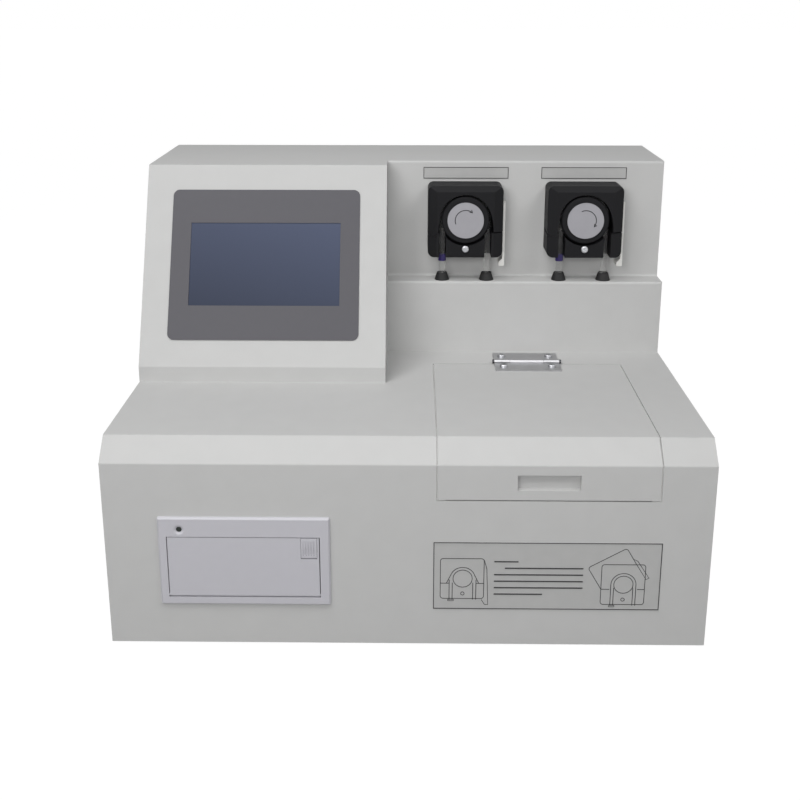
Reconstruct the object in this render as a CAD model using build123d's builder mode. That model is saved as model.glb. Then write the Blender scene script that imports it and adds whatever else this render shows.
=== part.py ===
from build123d import *

import os
from math import atan2, cos, degrees, hypot, radians, sin

# Benchtop automatic titrator: a touch screen on a sloping pod, a panel printer, a lidded sample
# compartment with a turntable of cups, and two peristaltic pumps that dose reagent into a cup.
# Millimetres; X to the right, Y to the back, Z up. The origin is the centre of the footprint,
# on the surface that the feet stand on.

# ---- Enclosure ----
width = 540.0
depth = 385.0
height = 405.0
sheet = 1.5
bend_radius = 2.5
foot_height = 4.0
foot_radius = 12.0
foot_inset = 48.0
foot_taper = 12.0
bezel_proud = 3.0
rear_proud = 14.0
chamfer_depth = 19.0
chamfer_height = 19.0
deck_z = 200.0
pod_width = 247.0
pod_riser_depth = 149.0
pod_riser_height = 16.0
pod_crest_depth = 241.0
wall_depth = 245.0
ledge_drop = 126.0
ledge_depth = 25.0
vent_slot_width = 3.0
vent_slot_count = 7

# ---- Clearances ----
moving_gap = 0.3
running_gap = 0.05
seat_gap = 0.05
panel_gap = 1.2

# ---- Display ----
overlay_width = 192.3
overlay_height = 156.0
overlay_thickness = 1.0
overlay_corner = 6.5
screen_width = 153.0
screen_height = 86.0
glass_thickness = 3.0
glass_margin = 1.5
display_housing_rim = 10.0
display_housing_depth = 16.0
display_housing_wall = 2.0

# ---- Printer ----
printer_x = -145.25
printer_z = 87.4
bezel_width = 153.0
bezel_height = 86.0
bezel_edge = 2.0
bezel_corner = 1.5
door_width = 135.0
door_height = 58.5
door_drop = 5.4
door_shift = -0.7
door_gap = 0.8
door_pin_radius = 1.0
door_pin_length = 2.4
door_rib = 1.6
tray_depth = 66.0
tray_wall = 2.0
tray_flange = 4.0
led_from_left = 19.2
led_from_top = 11.7
led_radius = 2.6
led_dimple_radius = 4.6
led_dimple_angle = 120.0
led_dimple_depth = 1.2
latch_width = 14.0
latch_height = 20.0
latch_gap = 0.6
latch_side_wall = 2.0
latch_pivot_height = 5.0
latch_pin_radius = 0.8
latch_rib_count = 5
latch_rib_depth = 0.3
roll_radius = 20.0
roll_width = 112.0
roll_core_radius = 6.0
roll_from_door = 28.0
platen_radius = 4.0
platen_length = 108.0
platen_setback = 6.0
platen_ear = 3.0
platen_stub_radius = 1.5

# ---- Lid and hinge ----
lid_x = 124.0
lid_width = 195.0
lid_thickness = 1.2
lid_front_z = 148.0
hinge_wall_gap = 38.5
hinge_rise = 2.6
hinge_length = 68.0
hinge_knuckle_radius = 2.3
hinge_pin_radius = 1.2
hinge_leaf_thickness = 1.4
hinge_deck_reach = 29.0
hinge_lid_reach = 23.0
hinge_center_knuckle = 35.0
hinge_knuckle_gap = 0.3
hinge_head_length = 2.0
hinge_head_radius = 2.1
lid_back_setback = 1.6
pull_width = 55.4
pull_height = 14.6
pull_z = 164.4
pull_depth = 6.0
pull_wall = 1.2
pull_rim = 2.5

# ---- Sample compartment ----
tub_wall = 2.0
tub_floor_z = 110.0
tub_side_inset = 5.0
tub_front_depth = 14.0
tub_back_gap = 7.0
tub_lip_drop = 3.0
tub_flange_reach = 12.0
tub_flange = 1.5
carousel_radius = 82.0
carousel_plate = 4.0
carousel_lift = 4.0
carousel_rack_rise = 26.0
carousel_post_height = 38.0
carousel_post_radius = 13.0
carousel_shaft_radius = 4.0
carousel_shaft_gap = 1.0
carousel_shaft_length = 30.0
cup_count = 6
cup_ring_radius = 54.0
cup_first_angle = 30.0
cup_radius = 20.0
cup_height = 55.0
cup_wall = 1.5
cup_taper = 2.0
cup_rim = 1.0
carousel_motor_size = 42.0
carousel_motor_length = 40.0

# ---- Peristaltic pumps ----
pump_centres = {"left": 59.2, "right": 184.5}
pump_drop = 58.0
pump_width = 78.7
pump_top = 36.0
pump_bottom = 40.0
pump_depth = 32.0
pump_corner = 6.0
pump_back_plate = 5.0
pump_parting_drop = 12.5
pump_edge = 1.2
pump_parting_gap = 1.2
pump_bevel_width = 9.5
pump_bevel_depth = 4.0
pump_top_bevel = 6.0
rotor_shaft_gap = 1.0
tube_radius = 3.2
tube_half_spacing = 23.8
tube_front_depth = 10.0
tube_channel_gap = 0.4
track_gap = 0.3
rotor_flange_radius = 25.0
rotor_flange_thickness = 8.0
rotor_back_radius = 19.0
rotor_back_thickness = 2.0
rotor_post_radius = 6.0
rotor_shaft_radius = 4.0
rotor_front_setback = 0.5
roller_count = 3
roller_radius = 6.0
roller_pin_radius = 1.5
disc_radius = 19.0
disc_thickness = 1.0
pivot_inset = 5.35
pivot_radius = 2.5
pivot_cap = 6.0
knuckle_radius = 5.0
knuckle_shoulder = 0.4
lever_side_gap = 0.4
lever_thickness = 2.3
lever_width = 14.0
lever_front = 9.0
lever_top_rise = 18.0
lever_tip_drop = 11.0
lever_tip_height = 8.0
lever_tip_width = 6.0
lever_tip_round = 1.0
lever_head_radius = 2.4
lever_head_relief = 4.1
lever_pin_radius = 1.5
lever_pin_inset = 3.0
lever_pin_length = 3.4
corner_relief = 3.2
pump_motor_size = 57.0
pump_motor_length = 48.0
pump_motor_boss_radius = 19.0

# ---- Tubing ----
grommet_radius = 7.9
grommet_top_radius = 5.4
grommet_height = 8.0
grommet_neck_radius = 5.0
grommet_neck_length = 5.0
collar_radius = 4.2
collar_height = 7.0
inlet_tube_drop = 43.0
dose_tube_z = 188.0
tube_bend = 13.0
inlet_bend = 24.0
dose_half_spacing = 12.0
head_nose = 11.0
head_width = 46.0
head_height = 14.0
nozzle_radius = 2.2
nozzle_length = 5.0
nozzle_taper = 6.0

# ---- Rear panel and inner units ----
fitting_radius = 3.2
fitting_length = 10.0
fitting_bore = 1.8
fitting_hex = 8.0
fitting_hex_sides = 6
fitting_neck_radius = 5.0
fitting_tail = 9.0
inlet_x = -205.0
inlet_z = 52.0
inlet_plate_width = 78.0
inlet_plate_height = 32.0
inlet_plate_thickness = 2.5
inlet_body_depth = 24.0
inlet_socket_width = 24.5
inlet_socket_height = 17.0
inlet_socket_depth = 17.0
inlet_socket_shift = -17.0
blade_width = 2.0
blade_height = 4.0
blade_length = 14.0
blade_half_spacing = 7.0
blade_shift = 2.0
switch_shift = 20.0
switch_width = 21.0
switch_height = 21.6
rocker_angle = 10.0
rocker_half_height = 8.6
rocker_reach = 5.0
rocker_pivot_radius = 1.5
fan_x = -190.0
fan_z = 130.0
fan_size = 80.0
fan_depth = 25.0
fan_duct_radius = 38.0
fan_hub_radius = 15.0
fan_blade_radius = 36.5
fan_blade_count = 7
fan_blade_thickness = 1.8
fan_blade_angle = 38.0
fan_blade_share = 0.7
fan_spindle_radius = 2.0
fan_motor_depth = 4.0
fan_strut_width = 4.0
port_x = -95.0
port_z = 52.0
port_width = 31.0
port_height = 12.6
port_thickness = 2.0
port_shell_width = 19.0
port_shell_height = 8.6
port_shell_length = 5.0
port_shell_wall = 1.0
port_side_angle = 80.0
supply_width = 98.0
supply_length = 160.0
supply_height = 38.0
supply_x = -60.0
supply_depth_pos = 250.0
board_x = 120.0
board_depth_pos = 315.0
board_width = 180.0
board_length = 110.0
board_thickness = 1.6
standoff_radius = 3.0
standoff_height = 8.0
standoff_inset = 8.0
board_chip_height = 2.4
chip_spacing_x = 60.0
chip_spacing_y = 36.0
chip_size = 22.5
board_terminal_height = 12.0
board_terminal_length = 126.0

# ---- Derived places ----
front_proud = bezel_proud + latch_gap
front_y = -(front_proud + depth + rear_proud) / 2 + front_proud
rear_y = front_y + depth
base_z = foot_height
inner_left = -width / 2 + sheet
inner_right = width / 2 - sheet
pod_right = -width / 2 + pod_width
pod_foot_z = deck_z + pod_riser_height
slope_run = pod_crest_depth - pod_riser_depth
slope_rise = height - pod_foot_z
pump_face_depth = wall_depth + ledge_depth
ledge_z = height - ledge_drop
pump_z = height - pump_drop
inlet_tube_z = ledge_z - inlet_tube_drop
hinge_depth = wall_depth - hinge_wall_gap
tub_back_depth = hinge_depth - tub_back_gap
carousel_depth = (tub_front_depth + tub_back_depth) / 2
head_reach = tub_back_depth - carousel_depth - cup_ring_radius + head_nose
rear_inner_depth = depth - sheet
panel_cut = 3 * sheet
tub_cut = 3 * tub_wall


def yz(depth_behind_front, z):
    """A point of a side profile, from its depth behind the front face and its height."""
    return (front_y + depth_behind_front, z)


def save(builder, node):
    """Label a finished piece and write it."""
    builder.part.label = node
    export_step(builder.part, "parts/" + node + ".step")


os.makedirs("parts", exist_ok=True)

# ---- Enclosure ----
with BuildPart() as base_tray:
    with BuildSketch(Plane.XY.offset(base_z)):
        with Locations((0, front_y + depth / 2)):
            Rectangle(inner_right - inner_left, depth - 2 * sheet)
    extrude(amount=sheet)
save(base_tray, "base_tray")

with BuildPart() as feet:
    with BuildSketch(Plane.XY.offset(foot_height)):
        with Locations((0, front_y + depth / 2)):
            with GridLocations(width - 2 * foot_inset, depth - 2 * foot_inset, 2, 2):
                Circle(foot_radius)
    extrude(amount=-foot_height, taper=foot_taper)
save(feet, "feet")

left_outline = [
    yz(0, base_z),
    yz(0, deck_z - chamfer_height),
    yz(chamfer_depth, deck_z),
    yz(pod_riser_depth, deck_z),
    yz(pod_riser_depth, pod_foot_z),
    yz(pod_crest_depth, height),
    yz(depth, height),
    yz(depth, base_z),
]
right_outline = [
    yz(0, base_z),
    yz(0, deck_z - chamfer_height),
    yz(chamfer_depth, deck_z),
    yz(wall_depth, deck_z),
    yz(wall_depth, ledge_z),
    yz(pump_face_depth, ledge_z),
    yz(pump_face_depth, height),
    yz(depth, height),
    yz(depth, base_z),
]

with BuildPart() as side_panel_left:
    with BuildSketch(Plane.YZ.offset(-width / 2)):
        with BuildLine():
            Polyline(*left_outline, close=True)
        make_face()
    extrude(amount=sheet)
save(side_panel_left, "side_panel_left")

with BuildPart() as side_panel_right:
    with BuildSketch(Plane.YZ.offset(inner_right)):
        with BuildLine():
            Polyline(*right_outline, close=True)
        make_face()
    extrude(amount=sheet)
save(side_panel_right, "side_panel_right")

lid_left = lid_x - lid_width / 2
lid_back_depth = hinge_depth - lid_back_setback
opening_front_z = lid_front_z - panel_gap
opening_back_depth = lid_back_depth + panel_gap
tray_width = door_width + 2 * tray_flange
tray_height = door_height + 2 * tray_flange + latch_side_wall
door_x = printer_x + door_shift
door_z = printer_z - door_drop

with BuildPart() as front_panel:
    with BuildSketch(Plane.YZ.offset(inner_left)):
        with BuildLine():
            FilletPolyline(
                yz(0, base_z),
                yz(0, deck_z - chamfer_height),
                yz(chamfer_depth, deck_z),
                yz(wall_depth + sheet, deck_z),
                radius=bend_radius,
            )
            offset(amount=sheet, side=Side.RIGHT)
        make_face()
    extrude(amount=inner_right - inner_left)
    # Lid opening, over the deck, the chamfer and the top of the front
    with BuildSketch(Plane.XY.offset(opening_front_z)):
        with Locations((lid_x, front_y - sheet)):
            Rectangle(
                lid_width + 2 * panel_gap,
                opening_back_depth + sheet,
                align=(Align.CENTER, Align.MIN),
            )
    extrude(amount=deck_z - opening_front_z + sheet, mode=Mode.SUBTRACT)
    # Printer opening
    with BuildSketch(Plane.XZ.offset(-front_y - 2 * sheet)):
        with Locations((door_x, door_z)):
            Rectangle(tray_width, tray_height)
    extrude(amount=panel_cut, mode=Mode.SUBTRACT)
save(front_panel, "front_panel")

# The pod's slope: its plane has X along the screen's width and Y up the slope
slope_angle = degrees(atan2(slope_run, slope_rise))
slope_normal = (0, -cos(radians(slope_angle)), sin(radians(slope_angle)))
slope_center = (
    (-width / 2 + pod_right) / 2,
    front_y + (pod_riser_depth + pod_crest_depth) / 2,
    (pod_foot_z + height) / 2,
)
slope_plane = Plane(origin=slope_center, x_dir=(1, 0, 0), z_dir=slope_normal)

with BuildPart() as pod_panel:
    with BuildSketch(Plane.YZ.offset(inner_left)):
        with BuildLine():
            FilletPolyline(
                yz(pod_riser_depth, deck_z),
                yz(pod_riser_depth, pod_foot_z),
                yz(pod_crest_depth, height),
                yz(rear_inner_depth, height),
                radius=bend_radius,
            )
            offset(amount=sheet, side=Side.RIGHT)
        make_face()
    extrude(amount=pod_right - sheet - inner_left)
    with BuildSketch(slope_plane.offset(sheet)):
        Rectangle(screen_width + 2 * glass_margin, screen_height + 2 * glass_margin)
    extrude(amount=-panel_cut, mode=Mode.SUBTRACT)
save(pod_panel, "pod_panel")

with BuildPart() as pod_cheek:
    with BuildSketch(Plane.YZ.offset(pod_right - sheet)):
        with BuildLine():
            Polyline(
                yz(pod_riser_depth, deck_z),
                yz(pod_riser_depth, pod_foot_z),
                yz(pod_crest_depth, height),
                yz(rear_inner_depth, height),
                yz(rear_inner_depth, deck_z),
                close=True,
            )
        make_face()
    extrude(amount=sheet)
save(pod_cheek, "pod_cheek")

tube_depth = wall_depth + tube_front_depth
tube_points = [
    (centre + side * tube_half_spacing, front_y + tube_depth)
    for centre in pump_centres.values()
    for side in (-1, 1)
]

with BuildPart() as wall_panel:
    with BuildSketch(Plane.YZ.offset(pod_right)):
        with BuildLine():
            FilletPolyline(
                yz(wall_depth, deck_z),
                yz(wall_depth, ledge_z),
                yz(pump_face_depth, ledge_z),
                yz(pump_face_depth, height),
                yz(rear_inner_depth, height),
                radius=bend_radius,
            )
            offset(amount=sheet, side=Side.RIGHT)
        make_face()
    extrude(amount=inner_right - pod_right)
    # Ledge holes for the tube grommets
    with BuildSketch(Plane.XY.offset(ledge_z + sheet)):
        with Locations(*tube_points):
            Circle(grommet_neck_radius)
    extrude(amount=-panel_cut, mode=Mode.SUBTRACT)
    # Shaft holes for the pump motors
    with BuildSketch(Plane.XZ.offset(-front_y - pump_face_depth + sheet)):
        with Locations(*[(centre, pump_z) for centre in pump_centres.values()]):
            Circle(pump_motor_boss_radius)
    extrude(amount=-panel_cut, mode=Mode.SUBTRACT)
save(wall_panel, "wall_panel")

fitting_xs = [centre - tube_half_spacing for centre in pump_centres.values()]
fan_slot_pitch = 2 * fan_duct_radius / vent_slot_count

with BuildPart() as rear_panel:
    with BuildSketch(Plane.XZ.offset(-front_y - depth)):
        with Locations((0, (base_z + height) / 2)):
            Rectangle(inner_right - inner_left, height - base_z)
        with Locations((inlet_x, inlet_z)):
            Rectangle(
                inlet_plate_width - 4 * inlet_plate_thickness,
                inlet_plate_height - 2 * inlet_plate_thickness,
                mode=Mode.SUBTRACT,
            )
        with Locations((port_x, port_z)):
            Rectangle(port_shell_width, port_shell_height, mode=Mode.SUBTRACT)
        with Locations(*[(x, inlet_tube_z) for x in fitting_xs]):
            Circle(fitting_neck_radius, mode=Mode.SUBTRACT)
        for row in range(vent_slot_count):
            offset_z = (row - (vent_slot_count - 1) / 2) * fan_slot_pitch
            chord = 2 * (fan_duct_radius**2 - offset_z**2) ** 0.5
            with Locations((fan_x, fan_z + offset_z)):
                SlotOverall(chord, 2 * vent_slot_width, mode=Mode.SUBTRACT)
    extrude(amount=sheet)
save(rear_panel, "rear_panel")

# ---- Display ----
with BuildPart() as display_overlay:
    with BuildSketch(slope_plane):
        RectangleRounded(overlay_width, overlay_height, overlay_corner)
        Rectangle(screen_width, screen_height, mode=Mode.SUBTRACT)
    extrude(amount=overlay_thickness)
save(display_overlay, "display_overlay")

with BuildPart() as display_module:
    with BuildSketch(slope_plane):
        Rectangle(
            screen_width + 2 * glass_margin - 2 * seat_gap,
            screen_height + 2 * glass_margin - 2 * seat_gap,
        )
    extrude(amount=-glass_thickness)
save(display_module, "display_module")

housing_width = screen_width + 2 * glass_margin + 2 * display_housing_rim
housing_height = screen_height + 2 * glass_margin + 2 * display_housing_rim
with BuildPart() as display_bracket:
    with BuildSketch(slope_plane.offset(-sheet)):
        Rectangle(housing_width, housing_height)
    extrude(amount=-display_housing_depth)
    # Seat of the glass
    with BuildSketch(slope_plane.offset(-sheet)):
        Rectangle(screen_width + 2 * glass_margin, screen_height + 2 * glass_margin)
    extrude(amount=-(glass_thickness - sheet), mode=Mode.SUBTRACT)
    # Hollow back, closed by nothing, where the driver board sits
    with BuildSketch(slope_plane.offset(-sheet - display_housing_depth)):
        Rectangle(
            housing_width - 2 * display_housing_wall, housing_height - 2 * display_housing_wall
        )
    extrude(
        amount=display_housing_depth - glass_thickness - display_housing_wall,
        mode=Mode.SUBTRACT,
    )
save(display_bracket, "display_bracket")

# ---- Printer ----
door_left = door_x - door_width / 2
door_right = door_x + door_width / 2
door_bottom = door_z - door_height / 2
door_top = door_z + door_height / 2
door_axis_depth = -bezel_proud / 2
door_axis_z = door_bottom + bezel_proud / 2
latch_x = door_right - latch_side_wall - latch_width / 2
latch_bottom = door_top - latch_height
latch_axis_z = latch_bottom + latch_pivot_height
led_x = printer_x - bezel_width / 2 + led_from_left
led_z = printer_z + bezel_height / 2 - led_from_top

with BuildPart() as printer_bezel:
    with BuildSketch(Plane.XZ.offset(-front_y)):
        with Locations((printer_x, printer_z)):
            RectangleRounded(bezel_width, bezel_height, bezel_corner)
    extrude(amount=bezel_proud)
    chamfer(printer_bezel.faces().sort_by(Axis.Y)[0].edges(), bezel_edge - 2 * moving_gap)
    # Door opening, with the pivot holes in its two sides
    with BuildSketch(Plane.XZ.offset(-front_y)):
        with Locations((door_x, door_z)):
            Rectangle(door_width + 2 * door_gap, door_height + 2 * door_gap)
    extrude(amount=bezel_proud, mode=Mode.SUBTRACT)
    with BuildSketch(Plane.YZ.offset(door_left - door_pin_length - moving_gap)):
        with Locations(yz(door_axis_depth, door_axis_z)):
            Circle(door_pin_radius + running_gap)
    extrude(amount=door_width + 2 * (door_pin_length + moving_gap), mode=Mode.SUBTRACT)
    # Indicator: a shallow dish with a through hole
    with Locations(Plane.XZ.offset(-front_y + bezel_proud)):
        with Locations((led_x, led_z)):
            CounterSinkHole(led_radius, led_dimple_radius, counter_sink_angle=led_dimple_angle)
save(printer_bezel, "printer_bezel")

with BuildPart() as printer_led:
    with BuildSketch(Plane.XZ.offset(-front_y)):
        with Locations((led_x, led_z)):
            Circle(led_radius - seat_gap)
    extrude(amount=bezel_proud - led_dimple_depth)
    fillet(printer_led.faces().sort_by(Axis.Y)[0].edges(), led_dimple_depth / 2)
save(printer_led, "printer_led")

with BuildPart() as printer_tray:
    with BuildSketch(Plane.XZ.offset(-front_y)):
        with Locations((door_x, door_z)):
            Rectangle(tray_width - 2 * seat_gap, tray_height - 2 * seat_gap)
    extrude(amount=-tray_depth)
    with BuildSketch(Plane.XZ.offset(-front_y - sheet)):
        with Locations((door_x, door_z)):
            Rectangle(tray_width + 2 * tray_flange, tray_height + 2 * tray_flange)
    extrude(amount=-tray_wall)
    with BuildSketch(Plane.XZ.offset(-front_y)):
        with Locations((door_x, door_z)):
            Rectangle(tray_width - 2 * tray_wall, tray_height - 2 * tray_wall)
    extrude(amount=tray_wall - tray_depth, mode=Mode.SUBTRACT)
save(printer_tray, "printer_tray")

with BuildPart() as printer_door:
    # Side view: a plate whose bottom edge is round about the pivot
    with BuildSketch(Plane.YZ.offset(door_left)):
        with Locations(yz(door_axis_depth, door_axis_z)):
            Circle(bezel_proud / 2)
            Rectangle(
                bezel_proud, door_top - door_axis_z, align=(Align.CENTER, Align.MIN)
            )
    extrude(amount=door_width)
    # Pivot pins
    with BuildSketch(Plane.YZ.offset(door_left - door_pin_length)):
        with Locations(yz(door_axis_depth, door_axis_z)):
            Circle(door_pin_radius)
    extrude(amount=door_width + 2 * door_pin_length)
    # Latch notch
    with BuildSketch(Plane.XZ.offset(-front_y)):
        with Locations((latch_x, latch_bottom + latch_height / 2)):
            Rectangle(latch_width + 2 * moving_gap, latch_height + 2 * latch_gap)
    extrude(amount=bezel_proud, mode=Mode.SUBTRACT)
    with BuildSketch(Plane.YZ.offset(latch_x - latch_width / 2 - latch_side_wall)):
        with Locations(yz(door_axis_depth, latch_axis_z)):
            Circle(latch_pin_radius + running_gap)
    extrude(amount=latch_width + 2 * latch_side_wall, mode=Mode.SUBTRACT)
    # Stiffening ribs inside the door, clear of the latch
    rib_top = latch_bottom - 2 * door_rib
    for rib_z in (door_axis_z + bezel_proud, rib_top):
        with BuildSketch(Plane.XZ.offset(-front_y)):
            with Locations((door_x, rib_z)):
                Rectangle(door_width - 4 * tray_wall, door_rib)
        extrude(amount=-2 * door_rib)
    # Two ears that hold the platen roller, with its stub holes
    platen_z = door_top - platen_radius - latch_gap
    platen_x = door_left + latch_side_wall + platen_ear + moving_gap + platen_length / 2
    for ear_x in (
        platen_x - platen_length / 2 - moving_gap - platen_ear,
        platen_x + platen_length / 2 + moving_gap,
    ):
        with BuildSketch(Plane.YZ.offset(ear_x)):
            with Locations(yz(0, platen_z)):
                Rectangle(
                    platen_setback + platen_radius,
                    2 * platen_radius,
                    align=(Align.MIN, Align.CENTER),
                )
            with Locations(yz(platen_setback, platen_z)):
                Circle(platen_stub_radius + running_gap, mode=Mode.SUBTRACT)
        extrude(amount=platen_ear)
save(printer_door, "printer_door")

with BuildPart() as platen_roller:
    with BuildSketch(Plane.YZ.offset(platen_x - platen_length / 2)):
        with Locations(yz(platen_setback, platen_z)):
            Circle(platen_radius)
    extrude(amount=platen_length)
    with BuildSketch(Plane.YZ.offset(platen_x - platen_length / 2 - platen_ear)):
        with Locations(yz(platen_setback, platen_z)):
            Circle(platen_stub_radius)
    extrude(amount=platen_length + 2 * platen_ear)
save(platen_roller, "platen_roller")

with BuildPart() as printer_latch:
    with BuildSketch(Plane.YZ.offset(latch_x - latch_width / 2)):
        with BuildLine():
            Polyline(
                yz(0, latch_bottom),
                yz(0, latch_bottom + latch_height),
                yz(-bezel_proud, latch_bottom + latch_height - latch_gap),
                yz(-bezel_proud - latch_gap, latch_bottom + latch_height / 2),
                yz(-bezel_proud, latch_bottom + latch_gap),
                close=True,
            )
        make_face()
    extrude(amount=latch_width)
    # Grip ribs, left standing between upright grooves
    groove_pitch = latch_width / (latch_rib_count + 1)
    with BuildSketch(Plane.XZ.offset(-front_y + bezel_proud - latch_rib_depth)):
        with Locations((latch_x, latch_bottom + latch_height / 2)):
            with GridLocations(groove_pitch, 0, latch_rib_count, 1):
                SlotOverall(latch_height - 2 * bezel_proud, groove_pitch / 2, rotation=90)
    extrude(amount=bezel_proud, mode=Mode.SUBTRACT)
    with BuildSketch(Plane.YZ.offset(latch_x - latch_width / 2 - latch_side_wall)):
        with Locations(yz(door_axis_depth, latch_axis_z)):
            Circle(latch_pin_radius)
    extrude(amount=latch_width + 2 * latch_side_wall - 2 * moving_gap)
save(printer_latch, "printer_latch")

roll_z = door_z - tray_height / 2 + tray_wall + roll_radius + seat_gap
with BuildPart() as paper_roll:
    with BuildSketch(Plane.YZ.offset(door_x - roll_width / 2)):
        with Locations(yz(roll_from_door, roll_z)):
            Circle(roll_radius)
            Circle(roll_core_radius, mode=Mode.SUBTRACT)
    extrude(amount=roll_width)
save(paper_roll, "paper_roll")

# ---- Lid ----
hinge_axis_z = deck_z + hinge_rise
with BuildPart() as lid_panel:
    with BuildSketch(Plane.YZ.offset(lid_left)):
        with BuildLine():
            FilletPolyline(
                yz(0, lid_front_z),
                yz(0, deck_z - chamfer_height),
                yz(chamfer_depth, deck_z),
                yz(lid_back_depth, deck_z),
                radius=bend_radius,
            )
            offset(amount=lid_thickness, side=Side.RIGHT)
        make_face()
    extrude(amount=lid_width)
    with BuildSketch(Plane.XZ.offset(-front_y)):
        with Locations((lid_x, pull_z)):
            Rectangle(pull_width, pull_height)
    extrude(amount=-lid_thickness, mode=Mode.SUBTRACT)
save(lid_panel, "lid_panel")

with BuildPart() as lid_pull:
    with BuildSketch(Plane.XZ.offset(-front_y - lid_thickness)):
        with Locations((lid_x, pull_z)):
            Rectangle(pull_width + 2 * pull_rim, pull_height + 2 * pull_rim)
    extrude(amount=-pull_wall)
    with BuildSketch(Plane.XZ.offset(-front_y - lid_thickness)):
        with Locations((lid_x, pull_z)):
            Rectangle(pull_width + 2 * pull_wall, pull_height + 2 * pull_wall)
    extrude(amount=-pull_depth)
    with BuildSketch(Plane.XZ.offset(-front_y - lid_thickness)):
        with Locations((lid_x, pull_z)):
            Rectangle(pull_width, pull_height)
    extrude(amount=pull_wall - pull_depth, mode=Mode.SUBTRACT)
save(lid_pull, "lid_pull")

# ---- Hinge: a butt hinge with one knuckle on the lid's leaf and two on the deck's ----
hinge_left = lid_x - hinge_length / 2
side_knuckle = (hinge_length - hinge_center_knuckle) / 2 - hinge_knuckle_gap
lid_knuckle_left = lid_x - hinge_center_knuckle / 2
leaf_clear = hinge_knuckle_radius + 2 * moving_gap


def hinge_leaf(direction, reach, knuckles):
    """One leaf: a plate on the sheet that runs away from the pin, and its own knuckles."""
    with BuildPart() as leaf:
        end = hinge_depth + direction * reach
        for left, length, near in knuckles + [(hinge_left, hinge_length, leaf_clear)]:
            start = hinge_depth + direction * near
            with BuildSketch(Plane.YZ.offset(left)):
                with BuildLine():
                    Polyline(
                        yz(start, deck_z + plate_rise),
                        yz(end, deck_z + plate_rise),
                        yz(end, deck_z + plate_rise + hinge_leaf_thickness),
                        yz(start, deck_z + plate_rise + hinge_leaf_thickness),
                        close=True,
                    )
                make_face()
                if near == 0:
                    with Locations(yz(hinge_depth, hinge_axis_z)):
                        Circle(hinge_knuckle_radius)
            extrude(amount=length)
            # The plate seats on the sheet beyond the knuckle
            with BuildSketch(Plane.XY.offset(deck_z)):
                with Locations((lid_x, front_y + (end + seat_start(direction)) / 2)):
                    Rectangle(hinge_length, abs(end - seat_start(direction)))
            extrude(amount=hinge_leaf_thickness)
        with BuildSketch(Plane.YZ.offset(hinge_left)):
            with Locations(yz(hinge_depth, hinge_axis_z)):
                Circle(hinge_pin_radius + running_gap)
        extrude(amount=hinge_length, mode=Mode.SUBTRACT)
    return leaf


def seat_start(direction):
    """Depth behind the front at which a leaf first lies on its sheet."""
    return hinge_depth + direction * leaf_clear


plate_rise = hinge_rise - hinge_knuckle_radius
hinge_leaf_lid = hinge_leaf(
    -1, hinge_lid_reach, [(lid_knuckle_left, hinge_center_knuckle, 0)]
)
save(hinge_leaf_lid, "hinge_leaf_lid")

right_knuckle_left = hinge_left + hinge_length - side_knuckle
hinge_leaf_deck = hinge_leaf(
    1,
    hinge_deck_reach,
    [(hinge_left, side_knuckle, 0), (right_knuckle_left, side_knuckle, 0)],
)
save(hinge_leaf_deck, "hinge_leaf_deck")

with BuildPart() as hinge_pin:
    with BuildSketch(Plane.YZ.offset(hinge_left)):
        with Locations(yz(hinge_depth, hinge_axis_z)):
            Circle(hinge_pin_radius)
    extrude(amount=hinge_length)
    for head_left in (hinge_left - hinge_head_length, hinge_left + hinge_length):
        with BuildSketch(Plane.YZ.offset(head_left)):
            with Locations(yz(hinge_depth, hinge_axis_z)):
                Circle(hinge_head_radius)
        extrude(amount=hinge_head_length)
save(hinge_pin, "hinge_pin")

# ---- Sample compartment ----
tub_left = lid_left + tub_side_inset
tub_right = lid_left + lid_width - tub_side_inset
tub_top = deck_z - sheet
tub_lip_z = opening_front_z - tub_lip_drop
carousel_y = front_y + carousel_depth

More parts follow.
